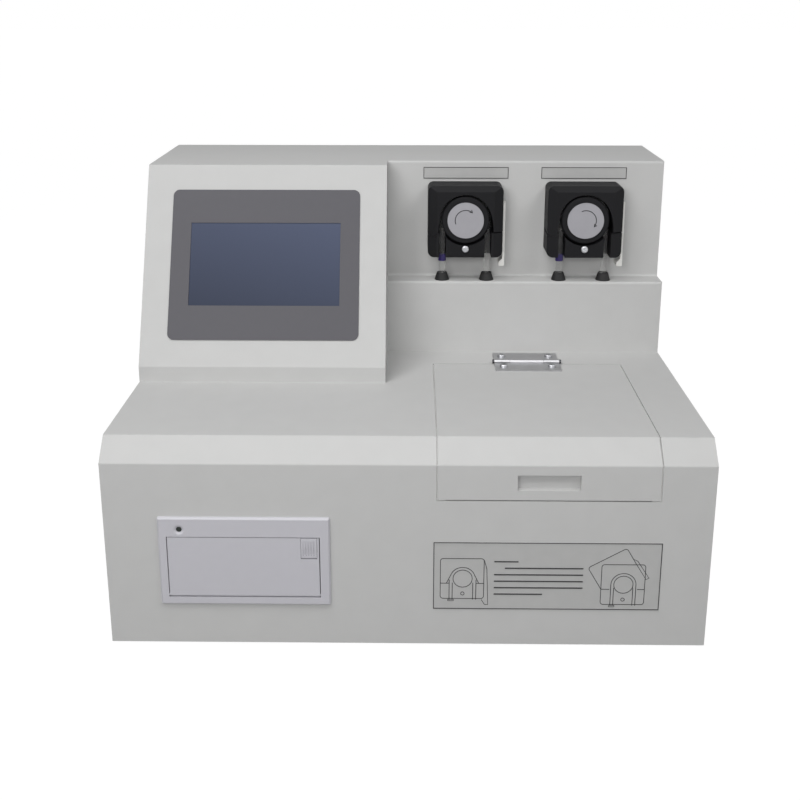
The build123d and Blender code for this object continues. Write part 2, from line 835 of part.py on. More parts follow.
with BuildPart() as sample_tub:
    # Side walls, floor, back and low front, from one side profile
    with BuildSketch(Plane.YZ.offset(tub_left)):
        with BuildLine():
            Polyline(
                yz(sheet, tub_lip_z),
                yz(tub_front_depth, tub_lip_z),
                yz(tub_front_depth, tub_floor_z),
                yz(tub_back_depth + tub_wall, tub_floor_z),
                yz(tub_back_depth + tub_wall, tub_top),
                yz(chamfer_depth + sheet, tub_top),
                yz(sheet, deck_z - chamfer_height - sheet),
                close=True,
            )
        make_face()
    extrude(amount=tub_right - tub_left)
    # Flange under the deck and behind the front, beside and behind the opening
    with BuildSketch(Plane.YZ.offset(tub_left - tub_flange_reach)):
        with BuildLine():
            Polyline(
                yz(sheet, tub_lip_z),
                yz(sheet, deck_z - chamfer_height - sheet),
                yz(chamfer_depth + sheet, tub_top),
                yz(opening_back_depth + 2 * tub_flange, tub_top),
            )
            offset(amount=tub_flange, side=Side.RIGHT)
        make_face()
    extrude(amount=tub_right - tub_left + 2 * tub_flange_reach)
    with BuildSketch(Plane.YZ.offset(tub_left + tub_wall)):
        with BuildLine():
            Polyline(
                yz(0, tub_lip_z + tub_wall),
                yz(tub_front_depth + tub_wall, tub_lip_z + tub_wall),
                yz(tub_front_depth + tub_wall, tub_floor_z + tub_wall),
                yz(tub_back_depth, tub_floor_z + tub_wall),
                yz(tub_back_depth, deck_z),
                yz(0, deck_z),
                close=True,
            )
        make_face()
    extrude(amount=tub_right - tub_left - 2 * tub_wall, mode=Mode.SUBTRACT)
    # Shaft hole in the floor, and two tube holes in the back
    with BuildSketch(Plane.XY.offset(tub_floor_z + tub_wall)):
        with Locations((lid_x, carousel_y)):
            Circle(carousel_shaft_radius + carousel_shaft_gap)
    extrude(amount=-2 * tub_wall, mode=Mode.SUBTRACT)
    with BuildSketch(Plane.XZ.offset(-front_y - tub_back_depth + tub_wall)):
        with Locations((lid_x, dose_tube_z)):
            with GridLocations(2 * dose_half_spacing, 0, 2, 1):
                Circle(tube_radius + tube_channel_gap)
    extrude(amount=-tub_cut, mode=Mode.SUBTRACT)
save(sample_tub, "sample_tub")

carousel_z = tub_floor_z + tub_wall + carousel_lift
rack_z = carousel_z + carousel_rack_rise
with BuildPart() as carousel:
    with BuildSketch(Plane.XY.offset(carousel_z)):
        with Locations((lid_x, carousel_y)):
            Circle(carousel_radius)
    extrude(amount=carousel_plate)
    with BuildSketch(Plane.XY.offset(rack_z)):
        with Locations((lid_x, carousel_y)):
            Circle(carousel_radius)
            with PolarLocations(cup_ring_radius, cup_count, start_angle=cup_first_angle):
                Circle(cup_radius + tube_channel_gap, mode=Mode.SUBTRACT)
    extrude(amount=carousel_plate)
    with BuildSketch(Plane.XY.offset(carousel_z)):
        with Locations((lid_x, carousel_y)):
            Circle(carousel_post_radius)
    extrude(amount=carousel_post_height)
    fillet(carousel.faces().sort_by(Axis.Z)[-1].edges(), carousel_plate)
    with BuildSketch(Plane.XY.offset(carousel_z)):
        with Locations((lid_x, carousel_y)):
            Circle(carousel_shaft_radius)
    extrude(amount=-carousel_shaft_length)
save(carousel, "carousel")

with BuildPart() as sample_cups:
    cup_z = carousel_z + carousel_plate
    standing = (Align.CENTER, Align.CENTER, Align.MIN)
    with Locations((lid_x, carousel_y, cup_z)):
        with PolarLocations(cup_ring_radius, cup_count, start_angle=cup_first_angle):
            Cone(cup_radius - cup_taper, cup_radius, cup_height, align=standing)
            with Locations((0, 0, cup_height - 2 * cup_rim)):
                Cylinder(cup_radius + cup_rim, 2 * cup_rim, align=standing)
    with Locations((lid_x, carousel_y, cup_z + cup_wall)):
        with PolarLocations(cup_ring_radius, cup_count, start_angle=cup_first_angle):
            Cone(
                cup_radius - cup_taper - cup_wall,
                cup_radius - cup_wall,
                cup_height,
                align=standing,
                mode=Mode.SUBTRACT,
            )
save(sample_cups, "sample_cups")

with BuildPart() as carousel_drive:
    with BuildSketch(Plane.XY.offset(tub_floor_z)):
        with Locations((lid_x, carousel_y)):
            RectangleRounded(carousel_motor_size, carousel_motor_size, bezel_corner)
            Circle(carousel_shaft_radius + running_gap, mode=Mode.SUBTRACT)
    extrude(amount=-carousel_motor_length)
save(carousel_drive, "carousel_drive")

head_back = tub_back_depth
with BuildPart() as dosing_head:
    with BuildSketch(Plane.XZ.offset(-front_y - head_back)):
        with Locations((lid_x, dose_tube_z)):
            Rectangle(head_width, head_height)
    extrude(amount=head_reach)
    fillet(dosing_head.edges().filter_by(Axis.Z).sort_by(Axis.Y)[:2], bezel_corner)
    # Two nozzles over the rear cup, and the tube sockets in the back
    nozzle_y = carousel_y + cup_ring_radius
    with BuildSketch(Plane.XY.offset(dose_tube_z - head_height / 2)):
        with Locations((lid_x, nozzle_y)):
            with GridLocations(dose_half_spacing, 0, 2, 1):
                Circle(nozzle_radius)
    extrude(amount=-nozzle_length, taper=nozzle_taper)
    with BuildSketch(Plane.XZ.offset(-front_y - head_back)):
        with Locations((lid_x, dose_tube_z)):
            with GridLocations(2 * dose_half_spacing, 0, 2, 1):
                Circle(tube_radius + seat_gap)
    extrude(amount=head_height / 2, mode=Mode.SUBTRACT)
save(dosing_head, "dosing_head")

# ---- Peristaltic pumps ----
# Depths below are measured from the pump panel towards the front
body_front_depth = pump_face_depth - pump_depth
parting_z = pump_z - pump_parting_drop
body_bottom_z = pump_z - pump_bottom
body_top_z = pump_z + pump_top
track_radius = tube_half_spacing + tube_radius + track_gap
roller_ring = tube_half_spacing - tube_radius - track_gap - roller_radius
roller_length = pump_depth - pump_back_plate - rotor_flange_thickness
roller_length -= rotor_back_thickness + 4 * moving_gap
lever_inner = pump_width / 2 + lever_side_gap
lever_outer = lever_inner + lever_thickness
lever_axis_z = pump_z + lever_top_rise - lever_head_radius
lever_axis_x = pump_width / 2 - lever_pin_inset
channel_half = tube_radius + tube_channel_gap
pivot_side = pump_width / 2 - pivot_inset
pivot_reach = hypot(pivot_side, pump_parting_drop)
shoulder_angle = degrees(atan2(pump_parting_drop, pivot_side))


def pump_plane(out_from_panel):
    """An upright plane that faces front, so far out from the pump panel."""
    return Plane.XZ.offset(-front_y - pump_face_depth + out_from_panel)


def body_slab(x, low_z, high_z):
    """Front outline of the pump's housing between two heights, with its rounded corners."""
    with BuildSketch() as slab:
        with Locations((x, pump_z + (pump_top - pump_bottom) / 2)):
            RectangleRounded(pump_width, pump_top + pump_bottom, pump_corner)
        with Locations((x, (low_z + high_z) / 2)):
            Rectangle(pump_width, high_z - low_z, mode=Mode.INTERSECT)
    return slab.sketch


def bevelled_plan(x):
    """Plan of a pump head whose front narrows along two bevels."""
    with BuildSketch() as plan:
        with BuildLine():
            Polyline(
                (x - pump_width / 2, front_y + pump_face_depth),
                (x - pump_width / 2, front_y + body_front_depth + pump_bevel_depth),
                (x - pump_width / 2 + pump_bevel_width, front_y + body_front_depth),
                (x + pump_width / 2 - pump_bevel_width, front_y + body_front_depth),
                (x + pump_width / 2, front_y + body_front_depth + pump_bevel_depth),
                (x + pump_width / 2, front_y + pump_face_depth),
                close=True,
            )
        make_face()
    return plan.sketch


def build_pump(side, x):
    """One peristaltic pump head and its motor, centred on x."""
    node = "pump_" + side + "_"
    pivot = (x - pivot_side, parting_z)
    head_x = x + lever_axis_x
    head_room = lever_head_radius + moving_gap

    with BuildPart() as base:
        with BuildSketch(pump_plane(0)):
            add(body_slab(x, body_bottom_z, body_top_z))
            with Locations((x, pump_z)):
                Circle(rotor_shaft_radius + rotor_shaft_gap, mode=Mode.SUBTRACT)
        extrude(amount=pump_back_plate)
        with BuildSketch(pump_plane(pump_back_plate)):
            add(body_slab(x, body_bottom_z, parting_z - pump_parting_gap))
            with Locations((x, pump_z)):
                Circle(track_radius, mode=Mode.SUBTRACT)
            with Locations(pivot):
                Circle(knuckle_radius + moving_gap, mode=Mode.SUBTRACT)
        extrude(amount=pump_depth - pump_back_plate)
        with BuildSketch(Plane.XY.offset(body_bottom_z)):
            add(bevelled_plan(x))
        extrude(amount=pump_top + pump_bottom, mode=Mode.INTERSECT)
        front_edges = base.faces().sort_by(Axis.Y)[0].edges()
        chamfer(front_edges.group_by(Axis.Z)[0], pump_edge)
        # Channels for the two legs of the tube, open to the front
        with BuildSketch(Plane.XY.offset(body_bottom_z)):
            with Locations((x, front_y + tube_depth + channel_half)):
                with GridLocations(2 * tube_half_spacing, 0, 2, 1):
                    Rectangle(2 * channel_half, pump_depth, align=(Align.CENTER, Align.MAX))
        extrude(amount=parting_z - body_bottom_z, mode=Mode.SUBTRACT)
        # Relief for the cover's lower left corner as it swings down
        with BuildSketch(pump_plane(pump_back_plate)):
            with Locations(pivot):
                Rectangle(pump_width, 2 * corner_relief, align=(Align.MAX, Align.CENTER))
        extrude(amount=pump_depth - pump_back_plate, mode=Mode.SUBTRACT)
        # Pin that the cover swings on
        with BuildSketch(pump_plane(pump_back_plate)):
            with Locations(pivot):
                Circle(pivot_radius)
        extrude(amount=pump_depth - pump_back_plate - pivot_cap - moving_gap)
    save(base, node + "base")

    with BuildPart() as cover:
        foot_z = parting_z - moving_gap
        left_foot = (x - pivot_side + knuckle_radius + knuckle_shoulder, foot_z)
        with BuildSketch(pump_plane(pump_back_plate + moving_gap)):
            add(body_slab(x, parting_z, body_top_z))
            with Locations(pivot):
                Circle(knuckle_radius)
            # The track: below its right shoulder it follows an arc about the pivot, to lift clear
            with BuildLine():
                flare = CenterArc(pivot, pivot_reach + track_radius, 0, shoulder_angle)
                CenterArc((x, pump_z), track_radius, shoulder_angle, 180 - shoulder_angle)
                Polyline(
                    (x - track_radius, pump_z),
                    left_foot,
                    ((flare @ 0).X, foot_z),
                    flare @ 0,
                )
            make_face(mode=Mode.SUBTRACT)
        extrude(amount=pump_depth - pump_back_plate - moving_gap)
        with BuildSketch(pump_plane(pump_back_plate)):
            with Locations(pivot):
                Circle(pivot_radius + running_gap)
        extrude(amount=pump_depth - pump_back_plate - pivot_cap, mode=Mode.SUBTRACT)
        # Bevels along the sides and the top
        with BuildSketch(Plane.XY.offset(body_bottom_z)):
            add(bevelled_plan(x))
        extrude(amount=pump_top + pump_bottom, mode=Mode.INTERSECT)
        with BuildSketch(Plane.YZ.offset(x - pump_width / 2)):
            with BuildLine():
                Polyline(
                    yz(body_front_depth, body_bottom_z),
                    yz(body_front_depth, body_top_z - pump_top_bevel),
                    yz(body_front_depth + pump_bevel_depth, body_top_z),
                    yz(pump_face_depth, body_top_z),
                    yz(pump_face_depth, body_bottom_z),
                    close=True,
                )
            make_face()
        extrude(amount=pump_width, mode=Mode.INTERSECT)
        # Pocket and pin hole for the lever's head
        lever_out = pump_depth - lever_front
        with BuildSketch(pump_plane(lever_out + moving_gap)):
            with BuildLine():
                Polyline(
                    (head_x - head_room, lever_axis_z - head_room),
                    (head_x + pump_width, lever_axis_z - head_room),
                    (head_x + pump_width, lever_axis_z + lever_head_relief),
                    (head_x - head_room, lever_axis_z + lever_head_relief),
                    close=True,
                )
            make_face()
        extrude(amount=-(lever_width + 2 * moving_gap), mode=Mode.SUBTRACT)
        with BuildSketch(pump_plane(lever_out + lever_pin_length)):
            with Locations((head_x, lever_axis_z)):
                Circle(lever_pin_radius + running_gap)
        extrude(amount=-pump_depth, mode=Mode.SUBTRACT)
    save(cover, node + "cover")

    with BuildPart() as lever:
        tip_z = body_bottom_z - lever_tip_drop
        tip_inner = x + lever_outer - lever_tip_width
        with BuildSketch(pump_plane(lever_out)):
            with BuildLine():
                Polyline(
                    (head_x, lever_axis_z + lever_head_radius),
                    (x + lever_outer, lever_axis_z + lever_head_radius),
                    (x + lever_outer, tip_z),
                    (tip_inner, tip_z),
                    (tip_inner, tip_z + lever_tip_height / 2),
                    (x + lever_inner, tip_z + lever_tip_height),
                    (x + lever_inner, lever_axis_z - lever_head_radius),
                    (head_x, lever_axis_z - lever_head_radius),
                    close=True,
                )
            make_face()
            with Locations((head_x, lever_axis_z)):
                Circle(lever_head_radius)
        extrude(amount=-lever_width)
        fillet(lever.edges().filter_by(Axis.Y).group_by(Axis.Z)[0], lever_tip_round)
        with BuildSketch(pump_plane(lever_out + lever_pin_length - moving_gap)):
            with Locations((head_x, lever_axis_z)):
                Circle(lever_pin_radius)
        extrude(amount=-(lever_width + 2 * (lever_pin_length - moving_gap)))
    save(lever, node + "lever")

    roller_spots = [
        (x + roller_ring * cos(angle), pump_z + roller_ring * sin(angle))
        for angle in [radians(90 + 360 * turn / roller_count) for turn in range(roller_count)]
    ]
    flange_inner = pump_depth - rotor_flange_thickness
    roller_start = flange_inner - moving_gap
    with BuildPart() as rotor:
        with BuildSketch(pump_plane(pump_depth - rotor_front_setback)):
            with Locations((x, pump_z)):
                Circle(rotor_flange_radius)
        extrude(amount=-(rotor_flange_thickness - rotor_front_setback))
        chamfer(rotor.faces().sort_by(Axis.Y)[0].edges(), pump_edge)
        with BuildSketch(pump_plane(flange_inner)):
            with Locations((x, pump_z)):
                Circle(rotor_post_radius)
            with Locations(*roller_spots):
                Circle(roller_pin_radius)
        extrude(amount=-(roller_length + 2 * moving_gap))
        with BuildSketch(pump_plane(flange_inner - roller_length - 2 * moving_gap)):
            with Locations((x, pump_z)):
                Circle(rotor_back_radius)
        extrude(amount=-rotor_back_thickness)
        with BuildSketch(pump_plane(flange_inner - roller_length)):
            with Locations((x, pump_z)):
                Circle(rotor_shaft_radius)
        extrude(amount=-(flange_inner - roller_length + pump_motor_length / 2))
    save(rotor, node + "rotor")

    for number, spot in enumerate(roller_spots, start=1):
        with BuildPart() as roller:
            with BuildSketch(pump_plane(roller_start)):
                with Locations(spot):
                    Circle(roller_radius)
                    Circle(roller_pin_radius + running_gap, mode=Mode.SUBTRACT)
            extrude(amount=-roller_length)
        save(roller, node + "roller_" + str(number))

    with BuildPart() as disc:
        with BuildSketch(pump_plane(pump_depth - rotor_front_setback)):
            with Locations((x, pump_z)):
                Circle(disc_radius)
        extrude(amount=disc_thickness)
    save(disc, node + "disc")

    with BuildPart() as motor:
        with BuildSketch(pump_plane(-sheet)):
            with Locations((x, pump_z)):
                RectangleRounded(pump_motor_size, pump_motor_size, pump_corner)
        extrude(amount=-pump_motor_length)
        with BuildSketch(pump_plane(0)):
            with Locations((x, pump_z)):
                Circle(pump_motor_boss_radius - moving_gap)
        extrude(amount=-2 * sheet)
        with BuildSketch(pump_plane(0)):
            with Locations((x, pump_z)):
                Circle(rotor_shaft_radius + running_gap)
        extrude(amount=-pump_motor_length, mode=Mode.SUBTRACT)
    save(motor, node + "motor")

    # Tube: from the rear fitting, up the left grommet, round the rotor and down the right
    # grommet, then under the deck to the dosing head
    left_x = x - tube_half_spacing
    right_x = x + tube_half_spacing
    tube_y = front_y + tube_depth
    crown_z = pump_z + tube_half_spacing
    dose_x = lid_x + (-dose_half_spacing if x < lid_x else dose_half_spacing)
    tube_route = [
        (left_x, rear_y - sheet - fitting_tail / 2, inlet_tube_z),
        (left_x, tube_y, inlet_tube_z),
        (left_x, tube_y, crown_z),
        (right_x, tube_y, crown_z),
        (right_x, tube_y, dose_tube_z),
        (dose_x, tube_y, dose_tube_z),
        (dose_x, front_y + head_back - head_height / 2, dose_tube_z),
    ]
    crown_bend = tube_half_spacing - seat_gap
    with BuildPart() as tube:
        with BuildLine() as path:
            FilletPolyline(
                *tube_route, radius=[inlet_bend, crown_bend, crown_bend, tube_bend, tube_bend]
            )
        with BuildSketch(Plane(origin=path.line @ 0, z_dir=path.line % 0)):
            Circle(tube_radius)
        sweep()
    save(tube, node + "tube")


for pump_side, pump_x in pump_centres.items():
    build_pump(pump_side, pump_x)

with BuildPart() as tube_grommets:
    with BuildSketch(Plane.XY.offset(ledge_z)):
        with Locations(*tube_points):
            Circle(grommet_radius)
    grommet_taper = degrees(atan2(grommet_radius - grommet_top_radius, grommet_height))
    extrude(amount=grommet_height, taper=grommet_taper)
    with BuildSketch(Plane.XY.offset(ledge_z)):
        with Locations(*tube_points):
            Circle(grommet_neck_radius - seat_gap)
    extrude(amount=-grommet_neck_length)
    with BuildSketch(Plane.XY.offset(ledge_z - grommet_neck_length)):
        with Locations(*tube_points):
            Circle(tube_radius + seat_gap)
    extrude(amount=grommet_neck_length + grommet_height, mode=Mode.SUBTRACT)
save(tube_grommets, "tube_grommets")

with BuildPart() as tube_collars:
    with BuildSketch(Plane.XY.offset(body_bottom_z - collar_height)):
        with Locations(*[point for point in tube_points[::2]]):
            Circle(collar_radius)
            Circle(tube_radius + seat_gap, mode=Mode.SUBTRACT)
    extrude(amount=collar_height)
save(tube_collars, "tube_collars")

# ---- Rear panel units ----
with BuildPart() as hose_fittings:
    fitting_spots = [(x, inlet_tube_z) for x in fitting_xs]
    with BuildSketch(Plane.XZ.offset(-rear_y)):
        with Locations(*fitting_spots):
            RegularPolygon(fitting_hex, fitting_hex_sides)
    extrude(amount=-(rear_proud - fitting_length))
    with BuildSketch(Plane.XZ.offset(-rear_y)):
        with Locations(*fitting_spots):
            Circle(fitting_radius)
    extrude(amount=-rear_proud)
    with BuildSketch(Plane.XZ.offset(-rear_y)):
        with Locations(*fitting_spots):
            Circle(fitting_neck_radius - seat_gap)
    extrude(amount=sheet)
    with BuildSketch(Plane.XZ.offset(-rear_y + sheet)):
        with Locations(*fitting_spots):
            RegularPolygon(fitting_hex, fitting_hex_sides)
    extrude(amount=fitting_tail)
    with BuildSketch(Plane.XZ.offset(-rear_y - rear_proud)):
        with Locations(*fitting_spots):
            Circle(fitting_bore)
    extrude(amount=rear_proud + sheet + fitting_tail, mode=Mode.SUBTRACT)
    # Socket that the inner tube pushes into
    with BuildSketch(Plane.XZ.offset(-rear_y + sheet + fitting_tail)):
        with Locations(*fitting_spots):
            Circle(tube_radius + seat_gap)
    extrude(amount=-fitting_tail / 2, mode=Mode.SUBTRACT)
save(hose_fittings, "hose_fittings")

switch_x = inlet_x + switch_shift
socket_x = inlet_x + inlet_socket_shift
with BuildPart() as power_inlet:
    with BuildSketch(Plane.XZ.offset(-rear_y)):
        with Locations((inlet_x, inlet_z)):
            RectangleRounded(inlet_plate_width, inlet_plate_height, bezel_corner)
    extrude(amount=-inlet_plate_thickness)
    with BuildSketch(Plane.XZ.offset(-rear_y)):
        with Locations((inlet_x, inlet_z)):
            Rectangle(
                inlet_plate_width - 4 * inlet_plate_thickness - 2 * seat_gap,
                inlet_plate_height - 2 * inlet_plate_thickness - 2 * seat_gap,
            )
    extrude(amount=inlet_body_depth)
    # Socket with its two clipped corners, and the switch's well
    with BuildSketch(Plane.XZ.offset(-rear_y - inlet_plate_thickness)):
        with BuildLine():
            half_width = inlet_socket_width / 2
            half_height = inlet_socket_height / 2
            clip = inlet_socket_height / 4
            Polyline(
                (socket_x - half_width, inlet_z - half_height),
                (socket_x + half_width, inlet_z - half_height),
                (socket_x + half_width, inlet_z + half_height - clip),
                (socket_x + half_width - clip, inlet_z + half_height),
                (socket_x - half_width + clip, inlet_z + half_height),
                (socket_x - half_width, inlet_z + half_height - clip),
                close=True,
            )
        make_face()
    extrude(amount=inlet_socket_depth, mode=Mode.SUBTRACT)
    with BuildSketch(Plane.XZ.offset(-rear_y - inlet_plate_thickness)):
        with Locations((switch_x, inlet_z)):
            Rectangle(switch_width, switch_height)
    extrude(amount=inlet_socket_depth, mode=Mode.SUBTRACT)
    # Three blades: two beside each other, the earth blade above them
    with BuildSketch(Plane.XZ.offset(-rear_y - inlet_plate_thickness + inlet_socket_depth)):
        with Locations(
            (socket_x - blade_half_spacing, inlet_z - blade_shift),
            (socket_x + blade_half_spacing, inlet_z - blade_shift),
            (socket_x, inlet_z + blade_shift),
        ):
            Rectangle(blade_width, blade_height)
    extrude(amount=-blade_length)
    with BuildSketch(Plane.YZ.offset(switch_x - switch_width / 2)):
        with Locations((rear_y, inlet_z)):
            Circle(rocker_pivot_radius)
    extrude(amount=switch_width)
save(power_inlet, "power_inlet")

with BuildPart() as rocker_switch:
    tilt = radians(rocker_angle)
    rocker_plane = Plane(
        origin=(switch_x - switch_width / 2 + 2 * moving_gap, rear_y, inlet_z),
        x_dir=(0, cos(tilt), sin(tilt)),
        z_dir=(1, 0, 0),
    )
    with BuildSketch(rocker_plane):
        with BuildLine():
            Polyline(
                (-rocker_reach, -rocker_reach),
                (rocker_reach, -rocker_half_height),
                (rocker_reach - rocker_pivot_radius, 0),
                (rocker_reach, rocker_half_height),
                (-rocker_reach, rocker_reach),
                close=True,
            )
        make_face()
        Circle(rocker_pivot_radius + running_gap, mode=Mode.SUBTRACT)
    extrude(amount=switch_width - 4 * moving_gap)
save(rocker_switch, "rocker_switch")

with BuildPart() as data_port:
    with BuildSketch(Plane.XZ.offset(-rear_y)):
        with Locations((port_x, port_z)):
            RectangleRounded(port_width, port_height, port_thickness)
    extrude(amount=-port_thickness)
    with BuildSketch(Plane.XZ.offset(-rear_y + sheet + port_shell_length)):
        with Locations((port_x, port_z)):
            Trapezoid(
                port_shell_width - 2 * seat_gap, port_shell_height - 2 * seat_gap, port_side_angle
            )
    extrude(amount=-(sheet + 2 * port_shell_length))
    with BuildSketch(Plane.XZ.offset(-rear_y - port_shell_length)):
        with Locations((port_x, port_z)):
            Trapezoid(
                port_shell_width - 2 * port_shell_wall,
                port_shell_height - 2 * port_shell_wall,
                port_side_angle,
            )
    extrude(amount=port_shell_length, mode=Mode.SUBTRACT)
save(data_port, "data_port")

fan_back = rear_inner_depth
with BuildPart() as fan_frame:
    with BuildSketch(Plane.XZ.offset(-front_y - fan_back)):
        with Locations((fan_x, fan_z)):
            RectangleRounded(fan_size, fan_size, bezel_corner)
            Circle(fan_duct_radius, mode=Mode.SUBTRACT)
    extrude(amount=fan_depth)
    # Motor seat on four struts, at the inner end
    with BuildSketch(Plane.XZ.offset(-front_y - fan_back + fan_depth - fan_motor_depth)):
        with Locations((fan_x, fan_z)):
            Circle(fan_hub_radius)
            Rectangle(2 * fan_duct_radius + fan_strut_width / 2, fan_strut_width)
            Rectangle(fan_strut_width, 2 * fan_duct_radius + fan_strut_width / 2)
    extrude(amount=fan_motor_depth)
    with BuildSketch(Plane.XZ.offset(-front_y - fan_back + fan_depth - fan_motor_depth)):
        with Locations((fan_x, fan_z)):
            Circle(fan_spindle_radius)
    extrude(amount=-(fan_depth - fan_motor_depth) / 2)
save(fan_frame, "fan_frame")

fan_blade_length = (fan_depth - fan_motor_depth) * fan_blade_share
fan_rotor_plane = Plane.XZ.offset(-front_y - fan_back + fan_depth - fan_motor_depth - moving_gap)
with BuildPart() as fan_rotor:
    with BuildSketch(fan_rotor_plane):
        with Locations((fan_x, fan_z)):
            Circle(fan_hub_radius)
    extrude(amount=-fan_blade_length)
    # Pitched blades, from the hub to the duct
    with Locations(fan_rotor_plane.offset(-fan_blade_length / 2)):
        with Locations((fan_x, fan_z)):
            with PolarLocations(0, fan_blade_count):
                with Locations(Location((fan_hub_radius - 1, 0, 0), (fan_blade_angle, 0, 0))):
                    Box(
                        fan_blade_radius - fan_hub_radius,
                        fan_blade_thickness,
                        fan_blade_length,
                        align=(Align.MIN, Align.CENTER, Align.CENTER),
                    )
    with BuildSketch(fan_rotor_plane):
        with Locations((fan_x, fan_z)):
            Circle(fan_spindle_radius + running_gap)
    extrude(amount=-fan_blade_length, mode=Mode.SUBTRACT)
save(fan_rotor, "fan_rotor")

# ---- Inner units on the base tray ----
floor_z = base_z + sheet
with BuildPart() as power_supply:
    with BuildSketch(Plane.XY.offset(floor_z)):
        with Locations((supply_x, front_y + supply_depth_pos)):
            RectangleRounded(supply_width, supply_length, sheet)
    extrude(amount=supply_height)
    fillet(power_supply.faces().sort_by(Axis.Z)[-1].edges(), sheet / 2)
save(power_supply, "power_supply")

with BuildPart() as main_board:
    board_y = front_y + board_depth_pos
    with BuildSketch(Plane.XY.offset(floor_z)):
        with Locations((board_x, board_y)):
            with GridLocations(
                board_width - 2 * standoff_inset, board_length - 2 * standoff_inset, 2, 2
            ):
                Circle(standoff_radius)
    extrude(amount=standoff_height)
    board_z = floor_z + standoff_height
    with BuildSketch(Plane.XY.offset(board_z)):
        with Locations((board_x, board_y)):
            Rectangle(board_width, board_length)
    extrude(amount=board_thickness)
    with BuildSketch(Plane.XY.offset(board_z + board_thickness)):
        with Locations((board_x, board_y)):
            with GridLocations(chip_spacing_x, chip_spacing_y, 2, 2):
                Rectangle(chip_size, chip_size)
    extrude(amount=board_chip_height)
    with BuildSketch(Plane.XY.offset(board_z + board_thickness)):
        with Locations((board_x, board_y - board_length / 2 + board_terminal_height / 2)):
            Rectangle(board_terminal_length, board_terminal_height)
    extrude(amount=board_terminal_height)
save(main_board, "main_board")
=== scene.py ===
"""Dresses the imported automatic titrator: finishes, fasteners, printed plates and studio."""

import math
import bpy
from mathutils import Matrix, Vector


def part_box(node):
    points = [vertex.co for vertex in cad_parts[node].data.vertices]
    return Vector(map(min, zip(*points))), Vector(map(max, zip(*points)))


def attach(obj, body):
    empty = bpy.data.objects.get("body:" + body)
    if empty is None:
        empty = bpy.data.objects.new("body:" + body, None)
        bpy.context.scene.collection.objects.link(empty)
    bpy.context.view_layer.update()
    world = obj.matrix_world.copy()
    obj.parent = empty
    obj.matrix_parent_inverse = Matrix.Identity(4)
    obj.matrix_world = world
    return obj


bl_info = {
    "name": "Benchtop Titrator Dressing",
    "version": (1, 0, 0),
    "blender": (4, 5, 0),
    "location": "View3D > Sidebar > Titrator",
    "description": "Finishes, fasteners, printed plates and studio for a benchtop titrator",
    "category": "Object",
}

import bmesh
import bpy
from mathutils import Matrix, Vector

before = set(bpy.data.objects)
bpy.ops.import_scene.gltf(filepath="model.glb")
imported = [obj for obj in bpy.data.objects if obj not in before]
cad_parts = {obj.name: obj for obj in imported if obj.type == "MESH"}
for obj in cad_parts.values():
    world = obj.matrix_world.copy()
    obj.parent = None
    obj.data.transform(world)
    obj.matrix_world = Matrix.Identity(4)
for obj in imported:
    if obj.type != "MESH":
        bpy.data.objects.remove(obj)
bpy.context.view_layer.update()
MM = 0.001

# Which finish each CAD node wears
COATED = (
    "base_tray side_panel_left side_panel_right front_panel pod_panel pod_cheek wall_panel "
    "rear_panel lid_panel lid_pull"
).split()
STEEL = "hinge_leaf_lid hinge_leaf_deck data_port power_supply".split()
MOULDED_BLACK = (
    "display_bracket printer_tray dosing_head power_inlet rocker_switch fan_frame fan_rotor"
).split()
PRINTER_GREY = "printer_bezel printer_door printer_latch".split()
WHITE_PLASTIC = "sample_tub carousel hose_fittings".split()
RUBBER = "feet platen_roller tube_grommets".split()
DARK_STEEL = "hinge_pin carousel_drive".split()
PUMP_SIDES = ("left", "right")

# Stands a drawing up: its X runs right and its Y runs up the front face
UPRIGHT = Matrix.Rotation(math.radians(90), 4, "X")

# Painted light and shade on the screen: how far its tone rises from its left to its right, and
# from its foot to its head
SCREEN_PAINTED_LIGHT_ACROSS = 0.3
SCREEN_PAINTED_LIGHT_UP = 0.7


def center(node):
    """Middle of a CAD node's box at rest."""
    low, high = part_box(node)
    return [(low[axis] + high[axis]) / 2 for axis in range(3)]


# ---- Materials -----------------------------------------------------------


def new_material(name):
    """A node material with its shader and a shared object-space coordinate."""
    material = bpy.data.materials.new(name)
    material.use_nodes = True
    tree = material.node_tree
    tree.nodes.clear()
    output = tree.nodes.new("ShaderNodeOutputMaterial")
    shader = tree.nodes.new("ShaderNodeBsdfPrincipled")
    coords = tree.nodes.new("ShaderNodeTexCoord")
    tree.links.new(shader.outputs["BSDF"], output.inputs["Surface"])
    return material, tree, shader, coords


def noise(tree, coords, scale, detail=3.0, roughness=0.5, stretch=None):
    """Noise in object space, which a mapping may stretch into grain."""
    texture = tree.nodes.new("ShaderNodeTexNoise")
    texture.inputs["Scale"].default_value = scale
    texture.inputs["Detail"].default_value = detail
    texture.inputs["Roughness"].default_value = roughness
    if stretch:
        mapping = tree.nodes.new("ShaderNodeMapping")
        mapping.inputs["Scale"].default_value = stretch
        tree.links.new(coords.outputs["Object"], mapping.inputs["Vector"])
        tree.links.new(mapping.outputs["Vector"], texture.inputs["Vector"])
    else:
        tree.links.new(coords.outputs["Object"], texture.inputs["Vector"])
    return texture


def vary_color(tree, texture, shader, color, spread):
    """The base colour drifts by a share of itself, as paint and plastic do."""
    ramp = tree.nodes.new("ShaderNodeValToRGB")
    ramp.color_ramp.elements[0].position = 0.3
    ramp.color_ramp.elements[1].position = 0.7
    for element, factor in zip(ramp.color_ramp.elements, (1 - spread, 1 + spread)):
        element.color = [min(1.0, channel * factor) for channel in color[:3]] + [1.0]
    tree.links.new(texture.outputs["Fac"], ramp.inputs["Fac"])
    tree.links.new(ramp.outputs["Color"], shader.inputs["Base Color"])


